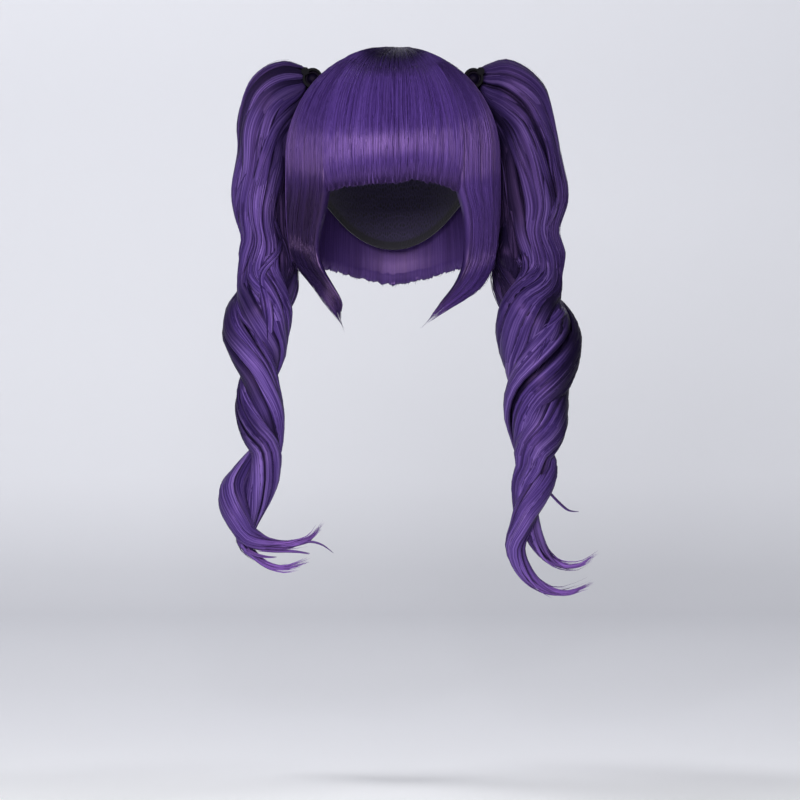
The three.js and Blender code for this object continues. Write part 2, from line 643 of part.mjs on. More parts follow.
// The upper bundle: ovals with a groove between locks, whose grooves turn slowly on the way down
function bundleGeometry(side) {
  const locks = 6;
  const sides = locks * 4;
  const rows = bundleRows[side];
  const rings = rows.map((row, number) => {
    const lean = 0.2 * (number / (rows.length - 1)) ** 2;
    const inner = tailPoint(side, row.innerOut, row.innerDrop, lean);
    const outer = tailPoint(side, row.outerOut, row.outerDrop, lean);
    const middle = inner.clone().lerp(outer, 0.5);
    const half = outer.clone().sub(middle);
    const turned = (number / (rows.length - 1)) * 0.6 * locks;
    return Array.from({ length: sides }, (_, k) => {
      const angle = (k / sides) * 2 * Math.PI;
      const reach = 1 + bundleGroove * (0.3 - groove((k / sides) * locks + turned + 0.5));
      const point = middle.clone().addScaledVector(half, reach * Math.cos(angle));
      point.y += reach * Math.sin(angle) * row.thick * bundleHalfDepth;
      return point;
    });
  });
  return loft(rings);
}

// One of the two twisted locks: its middle line from the rows above, then rings across it
function strandGeometry(side, strand) {
  const stepsPerRow = 1.5;
  const twist = twistRows[side];
  const line = [];
  for (let step = 0; step <= (twist.length - 1) * stepsPerRow; step += 1) {
    const row = step / stepsPerRow;
    const [out, drop, lean] = ["out", "drop", "lean"].map((column) => smooth(twist, column, row));
    const point = tailPoint(side, out, drop, lean);
    const turn = (smooth(twist, "turn", row) + strand * 180) * radians;
    const offset = smooth(twist, "offset", row) * strandOffset;
    point.x += (side === "right" ? 1 : -1) * offset * Math.cos(turn);
    point.y += offset * Math.sin(turn);
    line.push({ point, radius: smooth(twist, "radius", row) });
  }
  for (const tip of tipRows[side][strand]) {
    line.push({ point: tailPoint(side, tip.out, tip.drop, tip.lean), radius: tip.radius });
  }
  const locks = 4;
  const sides = locks * 3;
  const curve = new THREE.CatmullRomCurve3(line.map((l) => l.point));
  let across = new THREE.Vector3(0, 1, 0);
  const rings = line.map(({ point, radius }, i) => {
    const tangent = curve.getTangent(i / (line.length - 1));
    across = across.clone().addScaledVector(tangent, -across.dot(tangent)).normalize();
    const other = new THREE.Vector3().crossVectors(tangent, across);
    return Array.from({ length: sides }, (_, k) => {
      const angle = (k / sides) * 2 * Math.PI;
      const reach = radius * strandRadius * (1 + strandGroove * (0.3 - groove((k / sides) * locks + 0.5)));
      return point
        .clone()
        .addScaledVector(across, reach * Math.cos(angle))
        .addScaledVector(other, reach * Math.sin(angle));
    });
  });
  return loft(rings);
}

// Tail: the bundle and both locks in one solid, cut clear of the claw clip and of the bob
function tailMesh(side) {
  const { surface, outward } = clipPlace(side);
  const room = (radius, sides) => new THREE.CylinderGeometry(radius, radius, 4 * clipLength, sides);
  const clipRoom = room(clipRadius + pieceGap, 20);
  clipRoom.translate(...surface.addScaledVector(outward, clipRadius / 2).toArray());
  const barrelRoom = room(clipBarrelRadius + pieceGap, 14);
  barrelRoom.translate(...surface.addScaledVector(outward, clipRadius).toArray());
  const solid = solidOf(bundleGeometry(side))
    .add(solidOf(strandGeometry(side, 0)))
    .add(solidOf(strandGeometry(side, 1)))
    .subtract(bobEnvelope(2 * pieceGap))
    .subtract(solidOf(clipRoom))
    .subtract(solidOf(barrelRoom));
  return named("tail_" + side, geometryOf(solid), tailMaterial);
}

const wig = new THREE.Group();
wig.add(capMesh(), crownMesh(), fringeMesh(), backMesh());
for (const side of ["left", "right"]) wig.add(sideLockMesh(side), clipMesh(side), tailMesh(side));

export default wig;
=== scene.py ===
import bpy
import numpy as np
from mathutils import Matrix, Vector


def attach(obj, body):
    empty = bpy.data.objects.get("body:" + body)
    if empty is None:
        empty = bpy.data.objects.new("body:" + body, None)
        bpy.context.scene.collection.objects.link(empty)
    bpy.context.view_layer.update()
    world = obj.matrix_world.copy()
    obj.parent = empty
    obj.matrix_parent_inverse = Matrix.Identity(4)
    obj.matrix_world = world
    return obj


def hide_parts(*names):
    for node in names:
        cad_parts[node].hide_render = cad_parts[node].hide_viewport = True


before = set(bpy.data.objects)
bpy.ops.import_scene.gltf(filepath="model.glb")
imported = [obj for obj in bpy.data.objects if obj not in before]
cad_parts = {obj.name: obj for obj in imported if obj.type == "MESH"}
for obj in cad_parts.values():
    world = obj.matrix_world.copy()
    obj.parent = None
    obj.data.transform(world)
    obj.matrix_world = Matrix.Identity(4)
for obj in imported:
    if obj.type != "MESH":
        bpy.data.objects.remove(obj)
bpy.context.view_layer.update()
print("frame loaded:", ", ".join(sorted(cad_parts)))

dice = np.random.default_rng(7)


# colours and nodes

def linearColour(hexColour):
    parts = np.array([int(hexColour[i:i + 2], 16) / 255 for i in (1, 3, 5)])
    parts = np.where(parts <= 0.04045, parts / 12.92, ((parts + 0.055) / 1.055) ** 2.4)
    return (*parts, 1.0)


def addNode(tree, kind, settings=None, inputs=None, links=None, stops=()):
    # settings are the node's own options, inputs are socket values, links are (output, socket) pairs,
    # and stops are the places and colours of a ramp
    node = tree.nodes.new(kind)
    for key, value in (settings or {}).items():
        setattr(node, key, value)
    for key, value in (inputs or {}).items():
        node.inputs[key].default_value = value
    for source, key in links or []:
        tree.links.new(source, node.inputs[key])
    elements = node.color_ramp.elements if stops else ()
    while len(elements) < len(stops):
        elements.new(0.5)
    for element, (place, hexColour) in zip(elements, stops):
        element.position = place
        element.color = linearColour(hexColour)
    return node


def newMaterial(name):
    material = bpy.data.materials.new(name)
    material.use_nodes = True
    return material, material.node_tree


def mixByAttribute(tree, colour, attribute, hexColour, most=1.0):
    # the colour turns to the new one where the mesh's attribute is 1, by the share that most gives
    level = addNode(tree, "ShaderNodeAttribute", {"attribute_name": attribute}).outputs["Fac"]
    share = addNode(tree, "ShaderNodeMath", {"operation": "MULTIPLY"}, {1: most}, [(level, 0)]).outputs[0]
    mix = addNode(
        tree, "ShaderNodeMix", {"data_type": "RGBA"}, {7: linearColour(hexColour)},
        [(share, 0), (colour, 6)],
    )
    return mix.outputs[2]


def finishShader(tree, colour, sockets, height=None, strength=1.0, depth=0.0, invert=False):
    # sockets are the shader's own values; a height is bumped, and depth says how many mm it stands for
    shader = tree.nodes["Principled BSDF"]
    tree.links.new(colour, shader.inputs["Base Color"])
    for key, value in sockets.items():
        shader.inputs[key].default_value = value
    if height is not None:
        sizes = {"Strength": strength, "Distance": depth / 1000}
        bump = addNode(tree, "ShaderNodeBump", {"invert": invert}, sizes, [(height, "Height")])
        tree.links.new(bump.outputs["Normal"], shader.inputs["Normal"])
    return shader


# Heat-resistant modacrylic fibre, drawn smooth and heat-set. It has a silky gloss that runs across the
# fibres as a violet band, and each bunch has its own depth of violet. Its grooves and shaded parts get a
# painted shade that goes nearly black.
fibreLook = {
    # mm across and along each pattern, and its detail; one fibre is 0.08 mm wide, too fine to show
    "streaks": (1.3, 80, 2.0), "grain": (0.45, 30, 1.0), "bunches": (11, 190, 1.0),
    "bunchShare": 0.6, "evenLevel": 0.3, "bump": 0.5, "ior": 1.5, "anisotropy": 0.88,
    "tip": 0.8, "paintedShadeAndWeft": 0.97,  # how much of these two colours there is at most
}
fibreFinishes = {  # relief is the height of the streaks in mm
    "straight": {
        "shades": [(0.25, "#37245e"), (0.5, "#432d6f"), (0.78, "#573f86")], "paintedShadeAndWeft": "#110a20",
        "tip": "#5a3d84", "gloss": "#e4b5ff", "roughness": 0.37, "specular": 0.54, "relief": 0.16,
    },
    "waved": {
        "shades": [(0.25, "#2b1d4c"), (0.5, "#4a3674"), (0.78, "#775ea2")], "paintedShadeAndWeft": "#0f0a1e",
        "tip": "#8a60b4", "gloss": "#cf9cff", "roughness": 0.42, "specular": 0.2, "relief": 0.4,
    },
    # the crown's and the clips' hair, in painted shade
    "in painted shade": {
        "shades": [(0.25, "#130a26"), (0.5, "#1c1133"), (0.8, "#2c1e50")], "paintedShadeAndWeft": "#0a0614",
        "tip": "#4d3878", "gloss": "#e4cdf2", "roughness": 0.55, "specular": 0.14, "relief": 0.3,
    },
}


def modacrylicFibre(name, finish):
    material, tree = newMaterial("modacrylic fibre, " + name)
    place = addNode(tree, "ShaderNodeUVMap", {"uv_map": "fibre"}).outputs["UV"]
    patterns = []
    for wide, long, detail in (fibreLook[key] for key in ("streaks", "grain", "bunches")):
        scale = {"Scale": (1 / wide, 1 / long, 1)}
        stretch = addNode(tree, "ShaderNodeMapping", None, scale, [(place, "Vector")])
        noise = addNode(
            tree, "ShaderNodeTexNoise", {"noise_dimensions": "2D"}, {"Scale": 1.0, "Detail": detail},
            [(stretch.outputs["Vector"], "Vector")],
        )
        patterns.append(noise.outputs["Fac"])
    streaks, grain, bunches = patterns
    mixed = addNode(
        tree, "ShaderNodeMath", {"operation": "MULTIPLY_ADD"}, {1: fibreLook["bunchShare"]},
        [(bunches, 0), (streaks, 2)],
    )
    level = {1: fibreLook["evenLevel"]}
    even = addNode(tree, "ShaderNodeMath", {"operation": "SUBTRACT"}, level, [(mixed.outputs[0], 0)])
    ramp = addNode(tree, "ShaderNodeValToRGB", links=[(even.outputs[0], "Fac")], stops=finish["shades"])
    colour = ramp.outputs["Color"]
    for attribute in ("tip", "paintedShadeAndWeft"):
        colour = mixByAttribute(tree, colour, attribute, finish[attribute], fibreLook[attribute])
    relief = addNode(tree, "ShaderNodeMath", {"operation": "ADD"}, links=[(streaks, 0), (grain, 1)])
    shader = finishShader(tree, colour, {
        "Roughness": finish["roughness"], "Anisotropic": fibreLook["anisotropy"], "IOR": fibreLook["ior"],
        "Specular IOR Level": finish["specular"], "Specular Tint": linearColour(finish["gloss"]),
    }, relief.outputs[0], fibreLook["bump"], finish["relief"])
    tangent = addNode(tree, "ShaderNodeTangent", {"direction_type": "UV_MAP", "uv_map": "fibre"})
    tree.links.new(tangent.outputs["Tangent"], shader.inputs["Tangent"])
    return material


hairFibre = {name: modacrylicFibre(name, finish) for name, finish in fibreFinishes.items()}
print("fibre materials made")


# meshes

def addObject(name, data):
    added = bpy.data.objects.new(name, data)
    bpy.context.scene.collection.objects.link(added)
    return added


def startMesh():
    keys = ("points", "quads", "tris", "quadUv", "triUv", "paintedShadeAndWeft", "tip")
    return {"count": 0, **{key: [] for key in keys}}


def addPoints(data, points, paintedShadeAndWeft, tip):
    first = data["count"]
    points = points.reshape(-1, 3)
    data["points"].append(points)
    for key, value in (("paintedShadeAndWeft", paintedShadeAndWeft), ("tip", tip)):
        data[key].append(np.full(len(points), float(value)) if np.ndim(value) == 0 else value.ravel())
    data["count"] += len(points)
    return first


def addGrid(data, first, rows, columns, uv):
    # quads round closed rings of points already added; uv is (rows, columns + 1, 2)
    r, c = np.meshgrid(np.arange(rows - 1), np.arange(columns), indexing="ij")
    here, after = first + r * columns + c, first + r * columns + (c + 1) % columns
    quads = np.stack([here + columns, after + columns, after, here], -1)
    corners = np.stack([uv[r + 1, c], uv[r + 1, c + 1], uv[r, c + 1], uv[r, c]], -2)
    data["quads"].append(quads.reshape(-1, 4))
    data["quadUv"].append(corners.reshape(-1, 4, 2))


def addTube(data, rings, uv, paintedShadeAndWeft, tip, endShadeAndWeft=0.5):
    # a closed tube through rings (rows, columns, 3) that turn from across to up, with a fan over each end
    rows, columns, _ = rings.shape
    first = addPoints(data, rings, paintedShadeAndWeft, tip)
    addGrid(data, first, rows, columns, uv)
    c = np.arange(columns)
    for row, order in ((0, 1), (rows - 1, -1)):
        middle = addPoints(data, rings[row].mean(0)[None], endShadeAndWeft, 0.0)
        around = first + row * columns
        fan = np.stack([around + c, around + (c + 1) % columns, np.full(columns, middle)], -1)
        data["tris"].append(fan[:, ::order])
        data["triUv"].append(np.stack([uv[row, c], uv[row, c + 1], uv[row, c]], -2)[:, ::order])


def finishMesh(data, name, material, node):
    quads, tris = np.concatenate(data["quads"]), np.concatenate(data["tris"])
    points = np.concatenate(data["points"]) * 0.001
    mesh = bpy.data.meshes.new(name)
    mesh.vertices.add(len(points))
    mesh.vertices.foreach_set("co", points.ravel())
    corners = np.concatenate([quads.ravel(), tris.ravel()]).astype(np.int32)
    starts = np.concatenate([np.arange(len(quads)) * 4, len(quads) * 4 + np.arange(len(tris)) * 3])
    mesh.loops.add(len(corners))
    mesh.loops.foreach_set("vertex_index", corners)
    mesh.polygons.add(len(starts))
    mesh.polygons.foreach_set("loop_start", starts.astype(np.int32))
    mesh.polygons.foreach_set("use_smooth", np.ones(len(starts), bool))
    mesh.update(calc_edges=True)
    uv = np.concatenate([np.concatenate(data[key]).reshape(-1, 2) for key in ("quadUv", "triUv")])
    mesh.uv_layers.new(name="fibre").uv.foreach_set("vector", uv.ravel().astype(np.float32))
    for key in ("paintedShadeAndWeft", "tip"):
        mesh.attributes.new(key, "FLOAT", "POINT").data.foreach_set("value", np.concatenate(data[key]))
    mesh.validate()
    mesh.materials.append(material)
    piece = addObject(name, mesh)
    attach(piece, "root")
    if node:
        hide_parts(node)
    print(name, "-", len(quads) * 2 + len(tris), "triangles")


def stacked(*parts):
    return np.stack(np.broadcast_arrays(*parts), -1)


def widths(size, count):
    # half widths of strands in mm, from the first number to the sum of both
    least, more = size
    return (least + more * dice.random(count))[:, None]


def unit(vectors):
    return vectors / np.maximum(np.linalg.norm(vectors, axis=-1, keepdims=True), 1e-9)


def valueNoise(u, v, seed):
    # smooth noise from 0 to 1 on a lattice of 1 by 1
    table = np.random.default_rng(seed).random((251, 241))
    u, v = np.broadcast_arrays(u, v)
    iu, iv = np.floor(u).astype(int), np.floor(v).astype(int)
    fu, fv = smoothStep(0, 1, u - iu), smoothStep(0, 1, v - iv)
    left, right = iu % len(table), (iu + 1) % len(table)
    low, high = (
        table[left, row % table.shape[1]] * (1 - fu) + table[right, row % table.shape[1]] * fu
        for row in (iv, iv + 1)
    )
    return low * (1 - fv) + high * fv


def smoothStep(low, high, value):
    t = np.clip((value - low) / (high - low), 0, 1)
    return t * t * (3 - 2 * t)


def ridges(place, power):
    # 0 in the middle of each lock and 1 between two locks, which are 1 wide
    return np.abs(2 * (place % 1) - 1) ** power


def hermite(start, end, slopeIn, slopeOut, t):
    # a cubic from start to end with these slopes at them
    rise = end - start
    square, cube = 3 * rise - 2 * slopeIn - slopeOut, slopeIn + slopeOut - 2 * rise
    return start + t * (slopeIn + t * (square + t * cube))


def smoothColumns(rows, place):
    # all columns of a table as smooth curves, at row numbers that may have a fraction
    place = np.asarray(place, float)
    row = np.clip(np.floor(place).astype(int), 0, len(rows) - 2)
    t = (place - row)[..., None]
    at = [rows[np.clip(row + shift, 0, len(rows) - 1)] for shift in (-1, 0, 1, 2)]
    return hermite(at[1], at[2], (at[2] - at[0]) / 2, (at[3] - at[1]) / 2, t)


def hairLength(paths):
    # how far along each path its points lie, in mm
    steps = np.linalg.norm(np.diff(paths, axis=1), axis=2)
    return np.concatenate([np.zeros((len(paths), 1)), np.cumsum(steps, 1)], 1)


def sideways(paths, outward):
    # the ways across and up from each point of a path
    along = unit(np.gradient(paths, axis=1))
    across = unit(np.cross(along, outward))
    return across, np.cross(across, along)


def taper(t, root, swell, tip, thin):
    # strands are root thick at t = 0 and tip thick at t = 1, and reach full width at these rates
    return np.minimum(1, root + swell * t) * np.minimum(1, tip + thin * (1 - t))


def addStrands(data, paths, outward, halfWidth, height, tip=0.0, paintedShadeAndWeft=0.0, draws=dice):
    # closed three-sided strands, flat side down; paths is (strands, steps, 3), sizes are (strands, steps)
    count, steps, _ = paths.shape
    across, up = sideways(paths, outward)
    w, h = halfWidth[..., None], height[..., None]
    ring = np.stack([paths - across * w, paths + across * w, paths + up * h], 2)
    tips = np.broadcast_to(tip, (count, steps))[..., None] * np.ones(3)
    # painted shade: each strand's flat side is a little darker than its ridge
    paintedShades = np.clip(np.broadcast_to(paintedShadeAndWeft, (count, steps))[..., None] + np.array([0.2, 0.2, 0.0]), 0, 1)
    first = addPoints(data, ring, paintedShades, tips)
    base = first + (np.arange(count) * steps * 3)[:, None, None] + (np.arange(steps - 1) * 3)[None, :, None]
    side = np.arange(3)
    after = (side + 1) % 3
    quads = np.stack([base + side, base + 3 + side, base + 3 + after, base + after], -1)
    data["quads"].append(quads.reshape(-1, 4))
    # each strand has a place of its own in the fibre's pattern
    u = draws.random(count)[:, None, None] * 900 + np.array([0.0, 0.5, 1.0, 1.5]) * 0.6
    uv = stacked(u, (hairLength(paths) + draws.random(count)[:, None] * 200)[..., None])
    corners = [uv[:, :-1, :3], uv[:, 1:, :3], uv[:, 1:, 1:], uv[:, :-1, 1:]]
    data["quadUv"].append(np.stack(corners, -2).reshape(-1, 4, 2))
    for step, order in ((0, [0, 1, 2]), (steps - 1, [0, 2, 1])):
        data["tris"].append(first + (np.arange(count)[:, None] * steps + step) * 3 + np.array(order))
        data["triUv"].append(uv[:, step][:, order])


def addLocks(data, paths, outward, halfWidth, halfHeight, sides, seed, shade=0.0, tip=0.0):
    # closed flat locks of many fibres, each a little uneven along its length, with painted shade on their
    # edges and underside
    count, steps, _ = paths.shape
    across, up = (way[:, :, None] for way in sideways(paths, outward))
    around = np.arange(sides) / sides * 2 * np.pi
    length = hairLength(paths)
    wobble = valueNoise(np.arange(count)[:, None, None] * 7.3 + around * 2.2, length[..., None] / 45, seed)
    uneven = 1 + 0.35 * (wobble - 0.5)
    w, h = halfWidth[..., None] * uneven, halfHeight[..., None] * uneven
    sideway, upward = (w * np.cos(around))[..., None], (h * np.sin(around))[..., None]
    rings = paths[:, :, None] + across * sideway + up * upward
    # painted shade on each lock's sides and underside
    edges = np.clip(0.6 - 0.95 * np.sin(around), 0, 1)
    paintedShadeAndWeft = np.clip(edges + np.broadcast_to(shade, (count, steps))[..., None], 0, 1)
    tips = np.broadcast_to(np.broadcast_to(tip, (count, steps))[..., None], (count, steps, sides))
    girth = np.linspace(0, 1, sides + 1) * 4 * halfWidth.max(1)[:, None, None]
    u = girth + dice.random(count)[:, None, None] * 900
    uv = stacked(u, length[..., None] + dice.random(count)[:, None, None] * 300)
    for k in range(count):
        addTube(data, rings[k], uv[k], paintedShadeAndWeft[k], tips[k])


# The bob's form, as the solids have it
bob = {
    "halfWidth": 96, "frontDepth": 109, "backDepth": 112, "height": 99, "widestLevel": -84,
    "sideLoft": 15.6, "frontLoft": 12.6, "crownLoft": 12.6,
    "crownAngles": (0, 20, 40, 60, 90, 180), "crownReach": (0.48, 0.455, 0.355, 0.29, 0.245, 0.225),
}
sideSign = {"left": -1, "right": 1}  # the sign of X on each side


def quarterOf(form):
    # the way from the crown down to the widest level
    return (form["halfWidth"] + form["height"]) / 2 * np.pi / 2


quarterWay = quarterOf(bob)


def formPlace(form, angle, way):
    # the angle round and the bend down from the crown in radians, and the form's depth on that side
    angle = np.radians(angle)
    bend = np.minimum(way / quarterOf(form), 1) * np.pi / 2
    return angle, bend, np.where(np.cos(angle) > 0, form["frontDepth"], form["backDepth"])


def formPoint(form, angle, way, spread=1.0, out=0.0):
    # angle is degrees from the middle of the front, way is mm down from the crown, and out is mm proud
    angle, bend, depth = formPlace(form, angle, way)
    below = np.maximum(0, way - quarterOf(form))
    ring = np.where(below > 0, spread, np.sin(bend))
    x = (form["halfWidth"] + out) * ring * np.sin(angle)
    y = -(depth + out) * ring * np.cos(angle)
    return stacked(x, y, form["widestLevel"] + (form["height"] + out) * np.cos(bend) - below)


def bobOutward(angle, way):
    angle, bend, depth = formPlace(bob, angle, way)
    x = np.sin(bend) * np.sin(angle) / bob["halfWidth"]
    return unit(stacked(x, -np.sin(bend) * np.cos(angle) / depth, np.cos(bend) / bob["height"]))


def crownWay(angle):
    fromFront = np.abs((np.asarray(angle) + 180) % 360 - 180)
    return quarterWay * np.interp(fromFront, bob["crownAngles"], bob["crownReach"])


# Panels of the bob. at is the share of the hang below the widest level; front and rear are edges in degrees.
# shade puts a painted shade on the hair at shares of the hang, rootShade near the crown, and edgeShade along
# the inner edge of a side lock, whose hair flows to its outer edge, 0 for front and 1 for rear, and ends in
# a frayed slant.
# groove, clump, lift, ragged, trim, notch and tuft are in mm; hang is mm below the widest level.
panelHair = {
    "clump": 0.8, "lift": 0.35, "gather": 0.3, "flow": 0, "outer": 1, "edgeShade": 0.0,
    # mm: the body's relief, then the hem's bunches and wisps, then the body's inside, then the strands
    "clumpWidth": 4.5, "fineWidth": 0.9, "fineDepth": 0.25, "bunchWidth": 5, "wispWidth": 1.6,
    "hemThickness": 0.9, "inside": 0.25, "meander": 4, "drift": 1.3, "width": (0.34, 0.3), "sunk": 0.45,
    "thinning": 0.78,  # how much of its loft the body has lost at the hem
    "fromRoot": 0.7, "short": 0.22,  # shares of the strands that start at the crown and that end early
    "fray": 0.12,  # how far past the outer edge hair that flows may go, of the panel's width
}
fringe = {
    **panelHair, "node": "fringe", "locks": 9, "columns": 330, "rows": 26, "strands": 1750, "steps": 13,
    "groove": 0.5, "clump": 0.35, "lift": 0.22, "seed": 11,
    "at": (0, 0.4, 0.7, 1), "front": (-40, -39.4, -39, -38.5), "rear": (40, 39.4, 39, 38.5),
    "spread": (1, 0.995, 0.98, 0.955),
    "hemAngles": (-40, -25, 0, 12, 25, 40), "hang": (37, 34, 31.5, 28.5, 31.5, 37),
    "ragged": 1.7, "trim": 0.6, "notch": 1.4, "tuft": 6, "wisp": 0.4,
    "shade": ((0, 0), (0.3, 0.04), (0.8, 0.45), (1, 0.7)), "rootShade": 0.5, "rootReach": 0.14,
}
sideLock = {
    **panelHair, "locks": 3, "columns": 120, "rows": 40, "strands": 620, "steps": 17, "groove": 1.3,
    "at": (0, 0.22, 0.37, 0.5, 0.6, 0.7, 0.8, 0.9, 1), "hang": (147, 147),
    "spread": (1, 1, 0.995, 0.985, 0.97, 0.945, 0.91, 0.87, 0.83),
    "ragged": 9, "trim": 6, "notch": 3, "tuft": 9, "gather": 0.4, "wisp": 0.6, "flow": 0.75,
}
sideLocks = {
    "left": {
        **sideLock, "node": "side_lock_left", "seed": 23, "outer": 0, "hemAngles": (-82, -40),
        "front": (-82, -82, -82, -80, -76, -66, -52, -45.5, -37.5),
        "rear": (-40, -40, -43, -47.5, -48.5, -45.5, -39, -33.5, -34.5),
        "shade": ((0, 0.2), (0.15, 0.55), (0.28, 0.96), (0.7, 1), (0.85, 0.85), (1, 0.5)),
        "rootShade": 0.3, "rootReach": 0.1, "edgeShade": 1.0,
    },
    "right": {
        **sideLock, "node": "side_lock_right", "seed": 31, "hemAngles": (40, 82),
        "front": (40, 40, 45.5, 46.5, 46.5, 45, 40, 31.5, 23.5),
        "rear": (82, 82, 82, 82, 80, 75, 64, 45, 27.5),
        "shade": ((0, 0), (0.3, 0.12), (0.6, 0.22), (1, 0)),
        "rootShade": 0.6, "rootReach": 0.4, "edgeShade": 0.75,
    },
}
backHair = {
    **panelHair, "node": "back_hair", "locks": 14, "columns": 460, "rows": 24, "strands": 1500, "steps": 11,
    "groove": 1.6, "seed": 47,
    "at": (0, 0.5, 0.75, 1), "front": (82, 82, 82, 82), "rear": (278, 278, 278, 278),
    "spread": (1, 1, 0.985, 0.95),
    "hemAngles": (82, 110, 140, 180, 220, 250, 278), "hang": (94, 92, 97.5, 112, 97.5, 92, 94),
    "ragged": 2.2, "trim": 0.5, "notch": 1.2, "tuft": 12, "wisp": 0.45,
    "shade": ((0, 0), (0.6, 0.1), (1, 0.3)), "rootShade": 0.3, "rootReach": 0.12,
}


def reachOn(panel, key, share):
    # a column of the panel's table at shares of the hang: a smooth curve that is straight past its end
    column = np.array(panel[key], float)
    number = np.interp(share, panel["at"], np.arange(len(column)))
    slope = (column[-1] - column[-2]) / (panel["at"][-1] - panel["at"][-2])
    return smoothColumns(column[:, None], number)[..., 0] + slope * np.maximum(0, share - 1)


def panelPlace(panel, across, along):
    # degrees round, mm down, share of the full width and of the hang, for places across and along the panel
    middle = panel["front"][0] + (panel["rear"][0] - panel["front"][0]) * across
    hang = np.interp(middle, panel["hemAngles"], panel["hang"])
    start = crownWay(middle)
    way = start + (quarterWay + hang - start) * along
    share = np.maximum(0, way - quarterWay) / hang
    front, rear, spread = (reachOn(panel, key, share) for key in ("front", "rear", "spread"))
    return front + (rear - front) * across, way, spread, share


def panelWidth(panel):
    return abs(panel["rear"][0] - panel["front"][0]) * np.radians(bob["halfWidth"])


def panelLength(panel):
    return quarterWay + np.mean(panel["hang"]) - crownWay((panel["front"][0] + panel["rear"][0]) / 2)


def panelRelief(panel, across, along):
    # how far the hair lies under the solid's lock tops, in mm, and how much painted shade it gets in the
    # grooves between locks, 0 to 1
    seed, wide = panel["seed"], panelWidth(panel)
    lockSway = 0.12 * (valueNoise(across * 9, along * 2.2, seed) - 0.5)
    lock = ridges(across * panel["locks"] + lockSway, 4)
    clumpSway = 1.3 * valueNoise(across * wide / 14, along * 3, seed + 1)
    clump = ridges(across * wide / panel["clumpWidth"] + clumpSway, 2)
    fine = valueNoise(across * wide / panel["fineWidth"], along * 5, seed + 2)
    opened = smoothStep(0.02, 0.4, along)
    depth = (panel["groove"] * lock + 0.4 * panel["clump"] * clump) * opened + panel["fineDepth"] * fine
    paintedShadeAndWeft = np.clip(0.55 * lock * panel["groove"] + 0.45 * panel["clump"] * clump - 0.1, 0, 1) * opened
    return depth, paintedShadeAndWeft


def fromInnerEdge(panel, across):
    return across if panel["outer"] == 1 else 1 - across


def panelFlow(panel, along):
    # how much further from the inner edge the hair gets to as it flows
    return 1 + panel["flow"] * smoothStep(0.5, 1, along)


def panelShade(panel, across, along, share):
    # painted shade: the hair darkens near the crown, along the edges of a side lock, and lower down where it
    # thins and turns in
    shade = np.interp(share, *np.transpose(panel["shade"]))
    root = panel["rootShade"] * (1 - smoothStep(0, panel["rootReach"], along))
    inner = 1 - smoothStep(0.02, 0.2, fromInnerEdge(panel, across))
    return np.maximum(np.maximum(shade, root), panel["edgeShade"] * inner * smoothStep(0.3, 0.75, share))


def tuftPlace(panel, across):
    # the number of the hem's tuft at a place, with its fraction, and how many there are; their widths differ
    tufts = panelWidth(panel) / panel["tuft"]
    return across * tufts + 1.6 * valueNoise(across * tufts / 2.2, 0.5, panel["seed"] + 9), tufts


def hemLength(panel, across):
    # how far along each bunch ends, about 1
    wide = panelWidth(panel)
    bunch = valueNoise(across * wide / panel["bunchWidth"], 0.5, panel["seed"] + 3) - 0.5
    wisp = valueNoise(across * wide / panel["wispWidth"], 0.5, panel["seed"] + 4) - 0.5
    tuft, _ = tuftPlace(panel, across)
    depth = panel["notch"] * 1.6 * valueNoise(np.round(tuft) * 3.7, 0.5, panel["seed"] + 10)
    ragged = panel["ragged"] * (1.1 * bunch + 0.8 * wisp)
    return 1 + (ragged - depth * ridges(tuft, 4) - panel["trim"]) / panelLength(panel)


def addPanelBody(data, panel):
    columns, rows = panel["columns"], panel["rows"]
    across = np.linspace(0, 1, columns)[None, :]
    level = np.linspace(0, 1, rows)[:, None]
    along = (1 - (1 - level) ** 1.25) * hemLength(panel, across)  # the rows lie closer together at the hem
    angle, way, spread, share = panelPlace(panel, across, along)
    depth, paintedShadeAndWeft = panelRelief(panel, across, along)
    paintedShadeAndWeft = np.maximum(paintedShadeAndWeft, panelShade(panel, across, along, share))
    outer = formPoint(bob, angle, way, spread, -depth)
    loft = np.where(np.cos(np.radians(angle)) > 0, bob["frontLoft"], bob["sideLoft"])
    thin = np.clip(1 - panel["thinning"] * np.minimum(share, 1) ** 1.5, 0, 1)
    thick = loft * thin * (0.12 + 0.88 * smoothStep(0, 0.05, 1 - level))
    rough = panel["inside"] * valueNoise(across * 90, along * 4, 5)
    inner = formPoint(bob, angle, way, spread, -np.maximum(thick, panel["hemThickness"]) - rough)
    uv = stacked(across * panelWidth(panel), way)
    tip = smoothStep(0.8, 1, share) * 0.5
    ring = np.concatenate([outer, inner[:, ::-1]], 1)
    ringUv = np.concatenate([uv, uv[:, ::-1], uv[:, :1]], 1)
    # painted shade on the inside of the body
    ringShade = np.concatenate([paintedShadeAndWeft, np.full_like(paintedShadeAndWeft, 0.5)], 1)
    first = addPoints(data, ring, ringShade, np.concatenate([tip, np.zeros_like(tip)], 1))
    addGrid(data, first, rows, 2 * columns, ringUv)
    c = np.arange(columns - 1)
    for row, order in ((0, 1), (rows - 1, -1)):
        quads = np.stack([c, c + 1, 2 * columns - 2 - c, 2 * columns - 1 - c], -1)
        ends = np.stack([uv[row, c], uv[row, c + 1], uv[row, c + 1], uv[row, c]], -2)
        data["quads"].append(first + row * 2 * columns + quads[:, ::order])
        data["quadUv"].append(ends[:, ::order])


